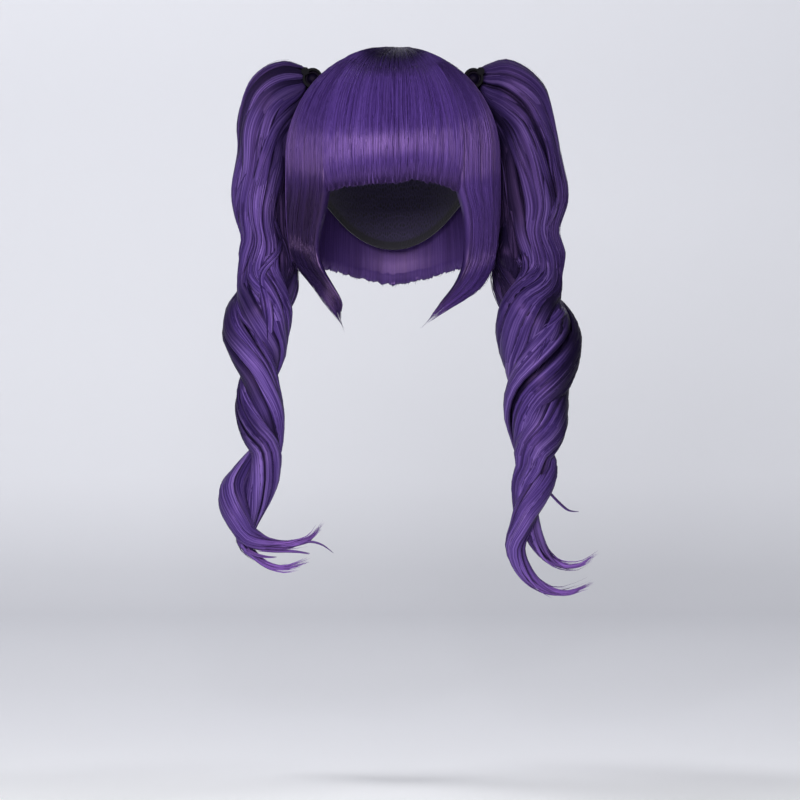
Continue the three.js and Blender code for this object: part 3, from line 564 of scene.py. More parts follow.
def addPanelStrands(data, panel):
    count, wide = panel["strands"], panelWidth(panel)
    across = dice.random(count)
    fromRoot = dice.random(count) < panel["fromRoot"]
    start = np.where(fromRoot, -dice.random(count) * 0.05, dice.random(count) * 0.6)
    short = dice.random(count) < panel["short"]
    wisp = panel["ragged"] * np.abs(dice.normal(0, panel["wisp"], count)) / panelLength(panel)
    stopShort = start + (1 - start) * (0.4 + 0.55 * dice.random(count))
    end = np.where(short, stopShort, hemLength(panel, across) + wisp)
    fray = 1 + panel["fray"] * dice.random(count)  # hair that flows this far from the inner edge ends there
    level = np.linspace(0, 1.1, 100)
    reached = fromInnerEdge(panel, across)[:, None] * panelFlow(panel, level) > fray[:, None]
    end = np.minimum(end, np.where(reached.any(1), level[reached.argmax(1)], 2))
    t = np.linspace(0, 1, panel["steps"])[None, :]
    along = start[:, None] + (end - start)[:, None] * t
    sway = valueNoise(across[:, None] * 60, along * 2.5, panel["seed"] + 6) - 0.5
    meander = sway * panel["meander"] / wide
    drift = (dice.normal(0, panel["drift"], count)[:, None] / wide) * (along - 0.3)
    place = across[:, None] + meander + drift
    tuft, tufts = tuftPlace(panel, place)
    place = place + panel["gather"] * (np.floor(tuft) + 0.5 - tuft) / tufts * smoothStep(0.78, 1.02, along)
    place = fromInnerEdge(panel, np.clip(place, 0.002, 0.998)) * panelFlow(panel, along)
    place = fromInnerEdge(panel, place)
    angle, way, spread, share = panelPlace(panel, place, along)
    depth, paintedShadeAndWeft = panelRelief(panel, place, along)
    # painted shade from the panel's tables, a little different on each strand
    shade = panelShade(panel, place, along, share) * (0.75 + 0.4 * dice.random(count)[:, None])
    paintedShadeAndWeft = np.maximum(paintedShadeAndWeft * 0.7, shade)
    lift = np.abs(dice.normal(0, panel["lift"], count))[:, None] + 0.1
    sink = np.minimum(smoothStep(0, 0.12, t), np.where(short[:, None], smoothStep(0, 0.15, 1 - t), 1))
    out = -depth * 0.85 + lift * sink - panel["sunk"] * (1 - sink)
    paths = formPoint(bob, angle, way, spread, out)
    width = widths(panel["width"], count) * taper(t, 0.15, 4, 0.05, 4.5)
    tip = smoothStep(0.85, 1, along) * 0.5
    addStrands(data, paths, bobOutward(angle, way), width, width * 0.6, tip, np.clip(paintedShadeAndWeft, 0, 1))


# The claw clips, as the solids have them, and the hair that they hold
clip = {
    "angle": 46, "depth": 14, "length": 34, "radius": 9, "wall": 2.2, "gap": 0.3,
    "held": 24, "roll": 0.86,  # mm of hair along the clip, and the roll's share of the ring's inside
    "locks": 13, "lockSize": (1.5, 0.6), "shade": 1.0,
    "reach": 128,  # how far the locks go down each side from the top, in degrees
    "gripRise": 0.55, "gripHeight": 0.9,  # where the tail's hair is gripped and how tall, of the radius
    "gripHalfWidth": 2.0, "gripShort": 3,  # and in mm, half its width and how far inside the clip's ends
}


def clipPlace(side):
    # the middle of a clip's ring, and the way out of the hair there
    angle = 90 * sideSign[side]
    way = quarterWay * clip["angle"] / 90
    outward = bobOutward(angle, way)
    middle = formPoint(bob, angle, way) + outward * clip["radius"] / 2
    middle[1] = clip["depth"]
    return middle, outward


def dressHeldHair(side):
    # a roll of hair along the clip, and locks that arch over it and go down between the jaws, all in painted
    # shade
    data = startMesh()
    middle, outward = clipPlace(side)
    alongClip = np.array([0.0, 1.0, 0.0])
    across = np.cross(outward, alongClip)
    inside = clip["radius"] - clip["wall"] - clip["gap"]
    depths = np.linspace(-0.5, 0.5, 12) * clip["held"]
    turn = -np.arange(20) * 2 * np.pi / 20
    reach = inside * clip["roll"] * (1 - 0.3 * np.abs(depths / depths[0]) ** 6)  # its ends are rounded
    around = np.cos(turn)[:, None] * across + np.sin(turn)[:, None] * outward
    rings = middle + depths[:, None, None] * alongClip + reach[:, None, None] * around
    addTube(data, rings, stacked(np.arange(21) * 2.0, depths[:, None]), clip["shade"], 0.0, clip["shade"])
    place = np.linspace(-0.48, 0.48, clip["locks"])[:, None] * clip["held"]
    turn = np.radians(np.linspace(-clip["reach"], clip["reach"], 15))[None, :]
    sway = place + 1.2 * (valueNoise(place / 2, turn, 91) - 0.5)
    away = np.sin(turn)[..., None] * across + np.cos(turn)[..., None] * outward
    paths = middle + sway[..., None] * alongClip + (inside - 0.7) * away
    wide, thick = (np.full(paths.shape[:2], size) for size in clip["lockSize"])
    addLocks(data, paths, away, wide, thick, 6, 92, clip["shade"])
    finishMesh(data, "held_hair_" + side, hairFibre["in painted shade"], None)


def dressPanel(panel, pieceName):
    data = startMesh()
    addPanelBody(data, panel)
    addPanelStrands(data, panel)
    finishMesh(data, pieceName, hairFibre["straight"], panel["node"])


dressPanel(fringe, "fringe_hair")
for side in sideSign:
    dressPanel(sideLocks[side], "side_lock_hair_" + side)
dressPanel(backHair, "back_hair_lengths")
for side in sideSign:
    dressHeldHair(side)

# The crown patch and the short lengths that run over its edge, in a painted shade that fades into the bob's
# violet at the patch's edge; groove, dip, width and overrun are in mm
crown = {
    "columns": 240, "rows": 14, "locks": 9, "groove": 0.9, "dip": 2.0,
    "strands": 1100, "steps": 9, "width": (0.3, 0.25), "overrun": 22, "narrow": 0.3,
    # lit strands carry a painted highlight in the tip colour
    "litShare": 0.35, "litWay": (12, 30),  # lit strands turn dark between these mm from the crown
    "sunk": 0.9,  # mm that the ends of the strands lie under the surface
    "start": (2, 30), "swirl": 26, "swirlWay": 60,  # mm from the crown, degrees, and mm over which they turn
}


def whorlShadeFade(angle, way):
    # the painted shade of the whorl ends at the patch's edge in front, and sooner at its sides
    dark = crownWay(angle) * (1 - crown["narrow"] * np.sin(np.radians(angle)) ** 2)
    return smoothStep(0.75, 1.15, way / dark)


def dressCrown():
    data = startMesh()
    columns, rows = crown["columns"], crown["rows"]
    angle = np.arange(columns)[None, :] * 360 / columns
    level = np.linspace(0, 1, rows)[:, None] ** 0.9
    way = (crownWay(angle) - 0.4) * np.maximum(level, 0.015)
    lock = ridges(angle / 360 * crown["locks"], 4)
    fine = valueNoise(angle / 1.4, level * 3, 61)
    depth = crown["dip"] * (1 - level) ** 4 + crown["groove"] * lock * level + 0.4 * fine * level
    outer, inner = (formPoint(bob, angle, way, 1, -under) for under in (depth, bob["crownLoft"]))
    uv = stacked(np.linspace(0, 220, columns + 1), np.arange(2 * rows)[:, None] * 6.0)
    # painted shade in the crown's grooves and on its inside
    paintedShadeAndWeft = np.concatenate([0.4 * lock * level, np.full((rows, columns), 0.6)], 0)
    tip = np.concatenate([whorlShadeFade(angle, way), np.zeros((rows, columns))], 0)
    addTube(data, np.concatenate([outer, inner[::-1]], 0), uv, paintedShadeAndWeft, tip, 0.3)
    count = crown["strands"]
    angle = dice.random(count) * 360
    t = np.linspace(0, 1, crown["steps"])[None, :]
    nearest, spread = crown["start"]
    start = nearest + spread * dice.random(count) ** 2
    end = crownWay(angle) + crown["overrun"] * (0.2 + 0.8 * dice.random(count))
    way = start[:, None] + (end - start)[:, None] * t
    swirl = crown["swirl"] * (1 - np.minimum(way / crown["swirlWay"], 1)) ** 2
    place = angle[:, None] + (swirl + dice.normal(0, 1.2, count)[:, None] * t)
    sink = np.minimum(smoothStep(0, 0.15, t), smoothStep(0, 0.2, 1 - t))
    dip = crown["dip"] * (1 - np.minimum(way / crownWay(place), 1)) ** 4
    lift = (0.1 + np.abs(dice.normal(0, 0.25, count)))[:, None]
    out = lift * sink - crown["sunk"] * (1 - sink) - dip
    width = widths(crown["width"], count) * taper(t, 0.1, 5, 0.05, 4)
    # painted highlight on some strands near the whorl
    isLit = np.where(dice.random(count) < crown["litShare"], 1.0, 0.0)
    lit = isLit[:, None] * (1 - smoothStep(*crown["litWay"], way))
    tip = np.maximum(whorlShadeFade(place, way), lit)
    paths = formPoint(bob, place, way, 1, out)
    addStrands(data, paths, bobOutward(place, way), width, width * 0.9, tip, 0.15 * (1 - lit))
    finishMesh(data, "crown_hair", hairFibre["in painted shade"], "crown_top")


dressCrown()
print("bob dressed")

# Tails. out is the way past the bob's side as a share of reach; drop is a share of length, lean of forward.
tail = {
    "length": 480, "reach": 64, "rootDepth": 20, "forward": 55, "halfDepth": 30,
    "ropeRadius": 28, "ropeOffset": 11, "bundleLean": 0.2,  # the lean is the bundle's, at its end
    "root": 0.03, "heldRows": 1.3,  # where the locks start, and the rows over which they leave the clip
    "joinFrom": 0.35, "joinTo": 0.47,  # shares of the length where the bundle becomes two ropes
    "bundleTwist": 60, "spin": -1.7, "wave": 34, "stray": 14,  # degrees, and turns in the whole length
    "waves": 5, "strays": 8,  # in the whole length
    "press": {"left": 0.22, "right": 0.32},  # how much closer to the bob the inner side comes
    "thinAt": (0, 25, 60, 110), "thin": (0.35, 0.62, 0.9, 1),  # mm from a rope's end, share of radius
    # the cores lie in painted shade, coreDark of it
    "coreReach": 0.66, "coreDark": 0.9, "coreSides": 16,
    "firmLocks": 34, "tufts": 46, "firmMesh": (8, 84), "tuftMesh": (6, 30),  # meshes are sides and steps
    # shares of a rope's radius; for the bundle, whose radius is larger, they count for bundleShare of it
    "lockWidth": 0.3, "lockHeight": 0.13, "lockReach": 0.81, "tuftReach": 0.87, "sunk": 0.16,
    "bundleShare": 0.66,
    "tuftLength": (0.1, 0.28), "tuftTurn": 50,  # share of the tail's length, and degrees across other locks
    "joinShare": 0.35, "tuftRise": 0.2,  # share of tufts that cover the join, and how deep tufts start
    # sideShade is painted shade on the outer sides of the ropes
    "sideShade": 0.8,  # how deep the outer sides of the ropes are
    # at the ends: fray is a share of the length, fan, wisp and edgeMm are mm, astray is a share of radius
    "fray": 0.13, "fan": 3.0, "wisp": 9, "wisps": 26, "astray": 0.005, "edgeMm": 45,
    "fanFrom": 0.86, "tipFrom": 0.88,  # where the locks part and the colour of the tips starts
    "longStrands": (185, 48, 0.9), "shortStrands": (430, 24, 0.2),  # how many, steps, and share of the lock
    "strandWidth": (0.35, 0.45), "wispWidth": (0.5, 0.9), "leastLock": (1.2, 0.7),  # mm
    # painted shade down each tail at these shares of its length, more on the right tail
    "shadeAt": (0, 0.06, 0.12, 0.3, 0.36, 0.5, 0.75, 0.9),
    "shade": {
        "left": (0.8, 0.5, 0.3, 0.1, 0.0, 0.05, 0.0, 0.0),
        "right": (0.8, 0.6, 0.48, 0.42, 0.4, 0.32, 0.05, 0.0),
    },
}
# the wisps that leave each tail: strands, spread and half width in mm, painted shade, tip, and the line in
# mm
flyaways = {
    "left": (
        (5, 1.0, 0.4, 0.15, 0.5, (
            (-91.3, -35, -430.3), (-82.5, -35, -428.6), (-72, -35, -427.3), (-62, -35, -430.5),
            (-52.3, -35, -437.8),
        )),
        (10, 1.7, 0.6, 0.15, 0.7, (
            (-119.7, -37, -434.1), (-104.7, -37, -435.4), (-93.1, -36, -435.8), (-83.3, -36, -436.5),
            (-73.6, -36, -438),
        )),
        (8, 1.4, 0.55, 0.2, 0.7, (
            (-130.4, -33, -434.1), (-121.5, -34, -438.5), (-112.6, -34, -440.7), (-102.9, -34, -441.2),
        )),
    ),
    "right": (
        (5, 1.0, 0.65, 0.4, 0.2, (
            (131, -20, -372), (139.5, -24, -384), (150, -27, -395), (157, -28, -400), (165.5, -29, -401),
        )),
    ),
}
bundleRows = {  # innerOut, innerDrop, outerOut, outerDrop, thick
    "right": np.array([
        (-0.291, 0.057, -0.261, 0.001, 0.43), (-0.19, 0.084, -0.079, -0.012, 0.63),
        (-0.079, 0.104, 0.143, -0.018, 0.8), (0.001, 0.126, 0.425, -0.001, 0.9),
        (0.041, 0.146, 0.646, 0.03, 0.97), (0.061, 0.171, 0.747, 0.066, 1),
        (0.066, 0.21, 0.847, 0.121, 1), (0.06, 0.251, 0.927, 0.185, 1), (0.05, 0.288, 0.986, 0.247, 0.97),
        (0.029, 0.323, 0.854, 0.308, 0.93), (-0.012, 0.365, 0.964, 0.36, 0.93),
        (-0.073, 0.407, 0.943, 0.407, 0.9), (-0.053, 0.445, 0.932, 0.445, 0.87),
        (0.066, 0.482, 0.85, 0.482, 0.73), (0.256, 0.517, 0.728, 0.517, 0.47),
    ]),
    "left": np.array([
        (-0.289, 0.057, -0.259, 0.001, 0.43), (-0.188, 0.084, -0.098, -0.012, 0.6),
        (-0.088, 0.104, 0.074, -0.017, 0.73), (-0.027, 0.121, 0.295, -0.007, 0.83),
        (0.013, 0.138, 0.487, 0.016, 0.87), (0.043, 0.163, 0.607, 0.047, 0.9),
        (0.052, 0.197, 0.687, 0.092, 0.93), (0.042, 0.239, 0.717, 0.155, 0.93),
        (0.031, 0.281, 0.787, 0.23, 0.93), (0.001, 0.315, 0.746, 0.277, 0.9),
        (-0.05, 0.344, 0.654, 0.321, 0.87), (-0.101, 0.374, 0.713, 0.356, 0.87),
        (-0.152, 0.407, 0.743, 0.395, 0.87), (-0.133, 0.441, 0.761, 0.428, 0.8),
        (-0.053, 0.474, 0.73, 0.466, 0.67), (0.096, 0.508, 0.638, 0.504, 0.43),
    ]),
}
twistRows = {  # drop, out, lean, radius, offset, turn
    "right": np.array([
        (0.319, 0.432, 0.08, 0.4, 0.9, 250), (0.369, 0.43, 0.12, 0.72, 0.8, 180),
        (0.405, 0.429, 0.16, 0.9, 0.75, 135), (0.44, 0.437, 0.2, 0.94, 0.75, 90),
        (0.477, 0.494, 0.26, 0.98, 0.95, 45), (0.512, 0.562, 0.32, 1, 1, 0),
        (0.548, 0.569, 0.38, 1, 0.9, -45), (0.584, 0.552, 0.44, 0.98, 0.8, -90),
        (0.619, 0.519, 0.5, 0.88, 0.75, -135), (0.654, 0.516, 0.56, 0.78, 0.7, -180),
        (0.69, 0.519, 0.62, 0.7, 0.68, -225), (0.725, 0.466, 0.68, 0.62, 0.65, -270),
        (0.754, 0.514, 0.73, 0.53, 0.6, -315), (0.781, 0.467, 0.78, 0.48, 0.55, -360),
        (0.809, 0.411, 0.82, 0.43, 0.5, -405), (0.837, 0.355, 0.86, 0.4, 0.5, -450),
        (0.864, 0.348, 0.9, 0.36, 0.62, -490),
    ]),
    "left": np.array([
        (0.304, 0.343, 0.06, 0.35, 0.85, 250), (0.349, 0.311, 0.1, 0.62, 0.75, 180),
        (0.388, 0.28, 0.14, 0.84, 0.75, 135), (0.425, 0.298, 0.18, 0.9, 0.75, 90),
        (0.464, 0.376, 0.24, 0.84, 0.85, 45), (0.501, 0.413, 0.3, 0.72, 0.95, 0),
        (0.539, 0.38, 0.36, 0.63, 1, -45), (0.576, 0.372, 0.42, 0.57, 0.9, -90),
        (0.614, 0.39, 0.48, 0.52, 0.85, -135), (0.651, 0.372, 0.54, 0.5, 0.82, -180),
        (0.689, 0.33, 0.6, 0.49, 0.78, -225), (0.725, 0.272, 0.66, 0.47, 0.78, -270),
        (0.763, 0.394, 0.72, 0.49, 0.9, -315), (0.799, 0.539, 0.78, 0.49, 1, -360),
        (0.837, 0.586, 0.84, 0.45, 0.8, -405), (0.869, 0.574, 0.88, 0.38, 0.55, -445),
    ]),
}
tipRows = {  # drop, out, lean and radius, for each of the two ropes
    "right": (
        np.array([
            (0.901, 0.197, 0.98, 0.34), (0.942, 0.315, 1, 0.3), (0.978, 0.61, 1, 0.23),
            (0.987, 0.907, 0.98, 0.14), (0.977, 1.164, 0.96, 0.05),
        ]),
        np.array([
            (0.89, 0.498, 0.86, 0.33), (0.918, 0.646, 0.86, 0.29), (0.936, 0.873, 0.88, 0.2),
            (0.937, 1.069, 0.9, 0.12), (0.926, 1.226, 0.92, 0.04),
        ]),
    ),
    "left": (
        np.array([
            (0.89, 0.392, 0.96, 0.34), (0.898, 0.134, 1, 0.25), (0.896, -0.142, 1, 0.17),
            (0.888, -0.35, 0.98, 0.09), (0.875, -0.44, 0.96, 0.035),
        ]),
        np.array([
            (0.9, 0.55, 0.86, 0.27), (0.92, 0.41, 0.86, 0.21), (0.936, 0.22, 0.88, 0.15),
            (0.941, 0, 0.9, 0.09), (0.934, -0.22, 0.92, 0.04),
        ]),
    ),
}


def tailPoint(side, out, drop, lean):
    x = sideSign[side] * (bob["halfWidth"] + out * tail["reach"])
    return stacked(x, tail["rootDepth"] - lean * tail["forward"], -drop * tail["length"])


def bundleDrops(side):
    rows = bundleRows[side]
    return rows, (rows[:, 1] + rows[:, 3]) / 2


def bundlePlace(side, station, turn, reach):
    # a point of the upper bundle: station is the mean drop, turn is degrees round, reach is 1 on the surface
    rows, drops = bundleDrops(side)
    number = np.interp(station, drops, np.arange(len(rows)))
    columns = smoothColumns(rows, number)
    lean = tail["bundleLean"] * (number / (len(rows) - 1)) ** 2
    inner = tailPoint(side, columns[..., 0], columns[..., 1], lean)
    outer = tailPoint(side, columns[..., 2], columns[..., 3], lean)
    middle, half = (inner + outer) / 2, (outer - inner) / 2
    turn = np.radians(turn)
    reach = reach * (1 + tail["press"][side] * np.clip(-np.cos(turn), 0, 1))
    point = middle + half * (reach * np.cos(turn))[..., None]
    point[..., 1] += reach * np.sin(turn) * columns[..., 4] * tail["halfDepth"]
    flatness = tail["halfDepth"] / np.linalg.norm(half, axis=-1, keepdims=True) ** 2
    away = half * np.cos(turn)[..., None] * flatness
    away[..., 1] += np.sin(turn) / columns[..., 4]
    # the first rows draw together into the clip
    ring, outward = clipPlace(side)
    held = ring + outward * clip["gripRise"] * clip["radius"]
    halfLong = clip["length"] / 2 - clip["gripShort"]
    halfHeld = np.array([clip["gripHalfWidth"], halfLong, clip["gripHeight"] * clip["radius"]])
    gripped = held + np.clip(point - held, -halfHeld, halfHeld)
    freed = smoothStep(0, tail["heldRows"], number)[..., None]
    return gripped + (point - gripped) * freed, unit(away)


def ropeLine(side, rope):
    # the middle line of one of the two ropes, with its radius and its own across and outward directions
    rows = twistRows[side]
    number = np.arange(0, len(rows) - 1 + 1e-6, 0.25)
    columns = smoothColumns(rows, number)
    turn = np.radians(columns[:, 5] + 180 * rope)
    line = tailPoint(side, columns[:, 1], columns[:, 0], columns[:, 2])
    line[:, 0] += sideSign[side] * columns[:, 4] * tail["ropeOffset"] * np.cos(turn)
    line[:, 1] += columns[:, 4] * tail["ropeOffset"] * np.sin(turn)
    tips = tipRows[side][rope]
    line = np.concatenate([line, tailPoint(side, tips[:, 1], tips[:, 0], tips[:, 2])])
    radius = np.concatenate([columns[:, 3], tips[:, 3]]) * tail["ropeRadius"]
    length = hairLength(line[None])[0]
    slope = np.gradient(line, length, axis=0)
    fine = np.linspace(0, length[-1], 260)
    i = np.clip(np.searchsorted(length, fine) - 1, 0, len(length) - 2)
    span = (length[i + 1] - length[i])[:, None]
    t = (fine - length[i])[:, None] / span
    curve = hermite(line[i], line[i + 1], slope[i] * span, slope[i + 1] * span, t)
    tangent = unit(np.gradient(curve, axis=0))
    behind = np.zeros_like(curve)
    direction = np.array([0.0, 1.0, 0.0])
    for k, way in enumerate(tangent):
        direction = unit(direction - way * (direction @ way))
        behind[k] = direction
    outer = np.cross(tangent, behind) * sideSign[side]
    station = rows[0, 0] + fine * (rows[-1, 0] - rows[0, 0]) / length[len(columns) - 1]
    thin = np.interp(fine[-1] - fine, tail["thinAt"], tail["thin"])
    return {
        "station": station, "line": curve, "radius": np.interp(fine, length, radius) * thin,
        "outer": outer, "behind": behind, "tangent": tangent,
    }


def alongRope(rope, station, key):
    value = rope[key]
    if value.ndim == 1:
        return np.interp(station, rope["station"], value)
    return np.stack([np.interp(station, rope["station"], value[:, axis]) for axis in range(3)], -1)


def ropePlace(rope, station, turn, reach):
    turn = np.radians(turn)[..., None]
    outer, behind = (alongRope(rope, station, key) for key in ("outer", "behind"))
    away = unit(outer * np.cos(turn) + behind * np.sin(turn))
    out = reach * alongRope(rope, station, "radius")
    return alongRope(rope, station, "line") + away * out[..., None], away


def planRopes(side):
    # both ropes, each with the way towards the other, which is 0 long where they have parted
    ropes = [ropeLine(side, k) for k in (0, 1)]
    for rope, other in (ropes, ropes[::-1]):
        station = rope["station"]
        gap = alongRope(other, station, "line") - rope["line"]
        far = np.linalg.norm(gap, axis=1) / (rope["radius"] + alongRope(other, station, "radius"))
        rope["towards"] = unit(gap) * (1 - smoothStep(1.0, 1.8, far))[:, None]
    return ropes


def joined(stations):
    # 0 in the bundle and 1 in the ropes
    return smoothStep(tail["joinFrom"], tail["joinTo"], stations)


def tailPaths(side, ropes, whichRope, bundleTurn, turn, stations, reach):
    # paths through the bundle and on along a rope, the way out, and how far each faces the bob or the other
    # rope. bundleTurn and turn are where the path lies round the bundle and round its rope, in degrees.
    onBundle, awayBundle = bundlePlace(side, np.minimum(stations, 0.5), bundleTurn, reach)
    onRope, awayRope = np.zeros_like(onBundle), np.zeros_like(onBundle)
    inwards = np.clip(-sideSign[side] * awayBundle[..., 0], 0, 1)
    between = np.zeros_like(inwards)
    for k, rope in enumerate(ropes):
        mine = whichRope == k
        onRope[mine], awayRope[mine] = ropePlace(rope, stations[mine], turn[mine], reach[mine])
        between[mine] = (awayRope[mine] * alongRope(rope, stations[mine], "towards")).sum(-1)
    join = joined(stations)
    parted = 1 - 0.6 * smoothStep(0.66, 0.76, stations)  # light gets in between the ropes near their ends
    # painted shade on the ropes' outer sides, where they face each other, and where the bundle faces the bob
    outwards = tail["sideShade"] * smoothStep(0.25, 0.85, sideSign[side] * awayRope[..., 0])
    onRopes = np.maximum(smoothStep(-0.1, 0.75, between), outwards)
    facing = smoothStep(0.15, 0.85, inwards) * (1 - join) + onRopes * join * parted
    join = join[..., None]
    return onBundle * (1 - join) + onRope * join, unit(awayBundle * (1 - join) + awayRope * join), facing


def lockSize(side, ropes, whichRope, stations):
    # the bundle's or the rope's radius at each place, in mm
    rows, drops = bundleDrops(side)
    wide, tall = (rows[:, 2] - rows[:, 0]) * tail["reach"], (rows[:, 3] - rows[:, 1]) * tail["length"]
    wide = np.hypot(wide, tall) / 2
    onBundle = np.interp(stations, drops, (wide + rows[:, 4] * tail["halfDepth"]) / 2) * tail["bundleShare"]
    onRope = np.zeros_like(stations)
    for k, rope in enumerate(ropes):
        onRope[whichRope == k] = alongRope(rope, stations[whichRope == k], "radius")
    return onBundle * (1 - joined(stations)) + onRope * joined(stations)


def addTailCores(data, side, ropes, seed):
    # what the locks lie on, in painted shade: the bundle's heart, and one inside each rope
    rows, drops = bundleDrops(side)
    station = np.interp(np.linspace(0.1, len(rows) - 1.4, 60), np.arange(len(rows)), drops)[:, None]
    turn = sideSign[side] * np.arange(24) * 15.0
    rings, _ = bundlePlace(side, *np.broadcast_arrays(station, turn[None, :], tail["coreReach"]))
    uv = stacked(np.arange(25) * 6.0, station * tail["length"])
    addTube(data, rings, uv, tail["coreDark"], 0.0, tail["coreDark"])
    for rope in ropes:
        share = np.linspace(0.01, 0.985, 100)[None, :]
        station = rope["station"][0] + share * (rope["station"][-1] - rope["station"][0])
        path, away = ropePlace(rope, station, np.zeros_like(station), np.zeros_like(station))
        radius = alongRope(rope, station, "radius") * tail["coreReach"]
        dark = tail["coreDark"] * (1 - 0.6 * smoothStep(0.8, 1, share))
        tip = smoothStep(0.85, 1, share)
        addLocks(data, path, away, radius, radius, tail["coreSides"], seed, dark, tip)


def planLocks(side, seed):
    # which rope each lock joins, where round it the lock lies, and where it starts and stops
    ropes = planRopes(side)
    count = tail["firmLocks"] + tail["tufts"]
    isTuft = np.arange(count) >= tail["firmLocks"]
    whichRope = np.arange(count) % 2
    ends = np.array([rope["station"][-1] for rope in ropes])[whichRope]
    evenTurn = (np.arange(count) // 2) * 720 / tail["firmLocks"]
    turn = np.where(isTuft, dice.random(count) * 360, evenTurn)
    short, long = tail["tuftLength"]
    start = tail["root"] + (ends - short - tail["root"]) * dice.random(count)
    atJoin = tail["joinFrom"] + (tail["joinTo"] - tail["joinFrom"]) * dice.normal(-0.4, 0.5, count)
    start = np.where(dice.random(count) < tail["joinShare"], atJoin, start)
    start = np.where(isTuft, start, tail["root"])
    tuftStop = start + short + (long - short) * dice.random(count)
    stop = np.where(isTuft, tuftStop, ends - tail["fray"] * dice.random(count))
    # the hair's own length at stations along its outer side, so that steps can be even
    fine = np.linspace(tail["root"], ends.max(), 500)
    outside, _ = bundlePlace(side, np.minimum(fine, 0.5), np.zeros(500), np.ones(500))
    steps = np.linalg.norm(np.diff(outside, axis=0), axis=1)
    steps = steps + tail["length"] * np.diff(np.maximum(fine, 0.5))
    return {
        "side": side, "seed": seed, "ropes": ropes, "isTuft": isTuft, "rope": whichRope, "ends": ends,
        "turn": turn + dice.normal(0, 5, count),
        "thick": np.exp(dice.normal(0, 0.3, count)) * np.where(isTuft, 0.7, 1.1),
        "start": start, "stop": np.minimum(stop, ends),
        "cross": tail["tuftTurn"] * np.where(isTuft, dice.normal(0, 1, count), 0),
        "fanWay": dice.normal(0, 1, count),
        "fine": fine, "way": np.concatenate([[0], np.cumsum(steps)]),
    }


def evenStations(locks, begin, close, steps):
    t = np.linspace(0, 1, steps)[None, :]
    first, last = (np.interp(place, locks["fine"], locks["way"])[:, None] for place in (begin, close))
    return t, np.interp(first + (last - first) * t, locks["way"], locks["fine"])


def lockCourse(locks, pick, stations, shift, lift):
    # where locks run at these stations, shifted round the rope by degrees and lifted by a share of the
    # radius, the way out there, and how deep in shade the hair lies, 0 to 1
    side, seed, rope = locks["side"], locks["seed"], locks["rope"][pick]
    keys = ("turn", "cross", "start", "stop", "ends", "fanWay", "isTuft")
    turn, cross, start, stop, ends, fanWay, isTuft = (locks[key][pick][:, None] for key in keys)
    joinAt = (tail["joinFrom"] + tail["joinTo"]) / 2
    waves = valueNoise(turn / 45 + 3 * rope[:, None], stations * tail["waves"], seed + 4)
    strays = valueNoise(pick[:, None] * 5.7, stations * tail["strays"], seed + 5)
    run = (stations - start) / (stop - start)
    sway = tail["wave"] * (waves - 0.5) + tail["stray"] * (strays - 0.5) + cross * (run - 0.5)
    ropeTurn = turn + tail["spin"] * (stations - joinAt) * 360 + sway + shift
    # each rope's hair takes half of the way round the bundle
    half = np.interp(joinAt, twistRows[side][:, 0], twistRows[side][:, 5]) + 180 * rope[:, None]
    inHalf = ((turn - half + 180) % 360 - 180) / 2
    twist = tail["bundleTwist"] * (stations - joinAt) / joinAt
    bundleTurn = half + inHalf + twist + 0.9 * sway + 0.6 * shift
    height = valueNoise(pick[:, None] * 3.1, stations * 12, seed + 6)
    rise = 1 - smoothStep(0, 0.35, run)
    reach = np.where(isTuft, tail["tuftReach"] - tail["tuftRise"] * rise, tail["lockReach"])
    reach = reach + tail["sunk"] * (height - 0.5) + lift
    reach = reach * (0.35 + 0.65 * smoothStep(0, 0.07, ends - stations))
    paths, away, facing = tailPaths(side, locks["ropes"], rope, bundleTurn, ropeTurn, stations, reach)
    # at the ends the locks part from each other like a fan
    part = smoothStep(tail["fanFrom"], 1.0, stations / ends) ** 2 * tail["fan"] * fanWay
    paths = paths + part[..., None] * np.array([0.25, 0.5, 1.0])
    # painted shade where hair faces the bob or the other rope, where a tuft starts deep, and where a lock
    # sinks
    shade = np.maximum(0.95 * facing, np.where(isTuft, 0.6 * rise, 0.0))
    shade = np.maximum(shade, 0.5 * (1 - smoothStep(0.15, 0.5, height)))
    return paths, away, np.clip(shade + np.interp(stations, tail["shadeAt"], tail["shade"][side]), 0, 1)


def addTailLocks(data, locks, isTuft, sides, steps):
    pick = np.flatnonzero(locks["isTuft"] == isTuft)
    t, stations = evenStations(locks, locks["start"][pick], locks["stop"][pick], steps)
    paths, away, shade = lockCourse(locks, pick, stations, 0.0, 0.0)
    size = lockSize(locks["side"], locks["ropes"], locks["rope"][pick], stations)
    size = size * locks["thick"][pick][:, None]
    swell = 0.75 + 0.5 * valueNoise(pick[:, None] * 2.3, stations * 8, locks["seed"] + 7)
    risen = np.maximum(smoothStep(0, 0.25, t), 0.04) if isTuft else smoothStep(-0.03, 0.04, t)
    length = hairLength(paths)
    thin = risen * np.minimum(1, 0.03 + (length[:, -1:] - length) / tail["edgeMm"])
    leastWidth, leastHeight = tail["leastLock"]
    width = np.maximum(size * tail["lockWidth"] * swell, leastWidth) * thin
    height = np.maximum(size * tail["lockHeight"], leastHeight) * thin
    tip = smoothStep(tail["fanFrom"], 1.0, stations / locks["ends"][pick][:, None])
    addLocks(data, paths, away, width, height, sides, locks["seed"] + 2, shade, tip)


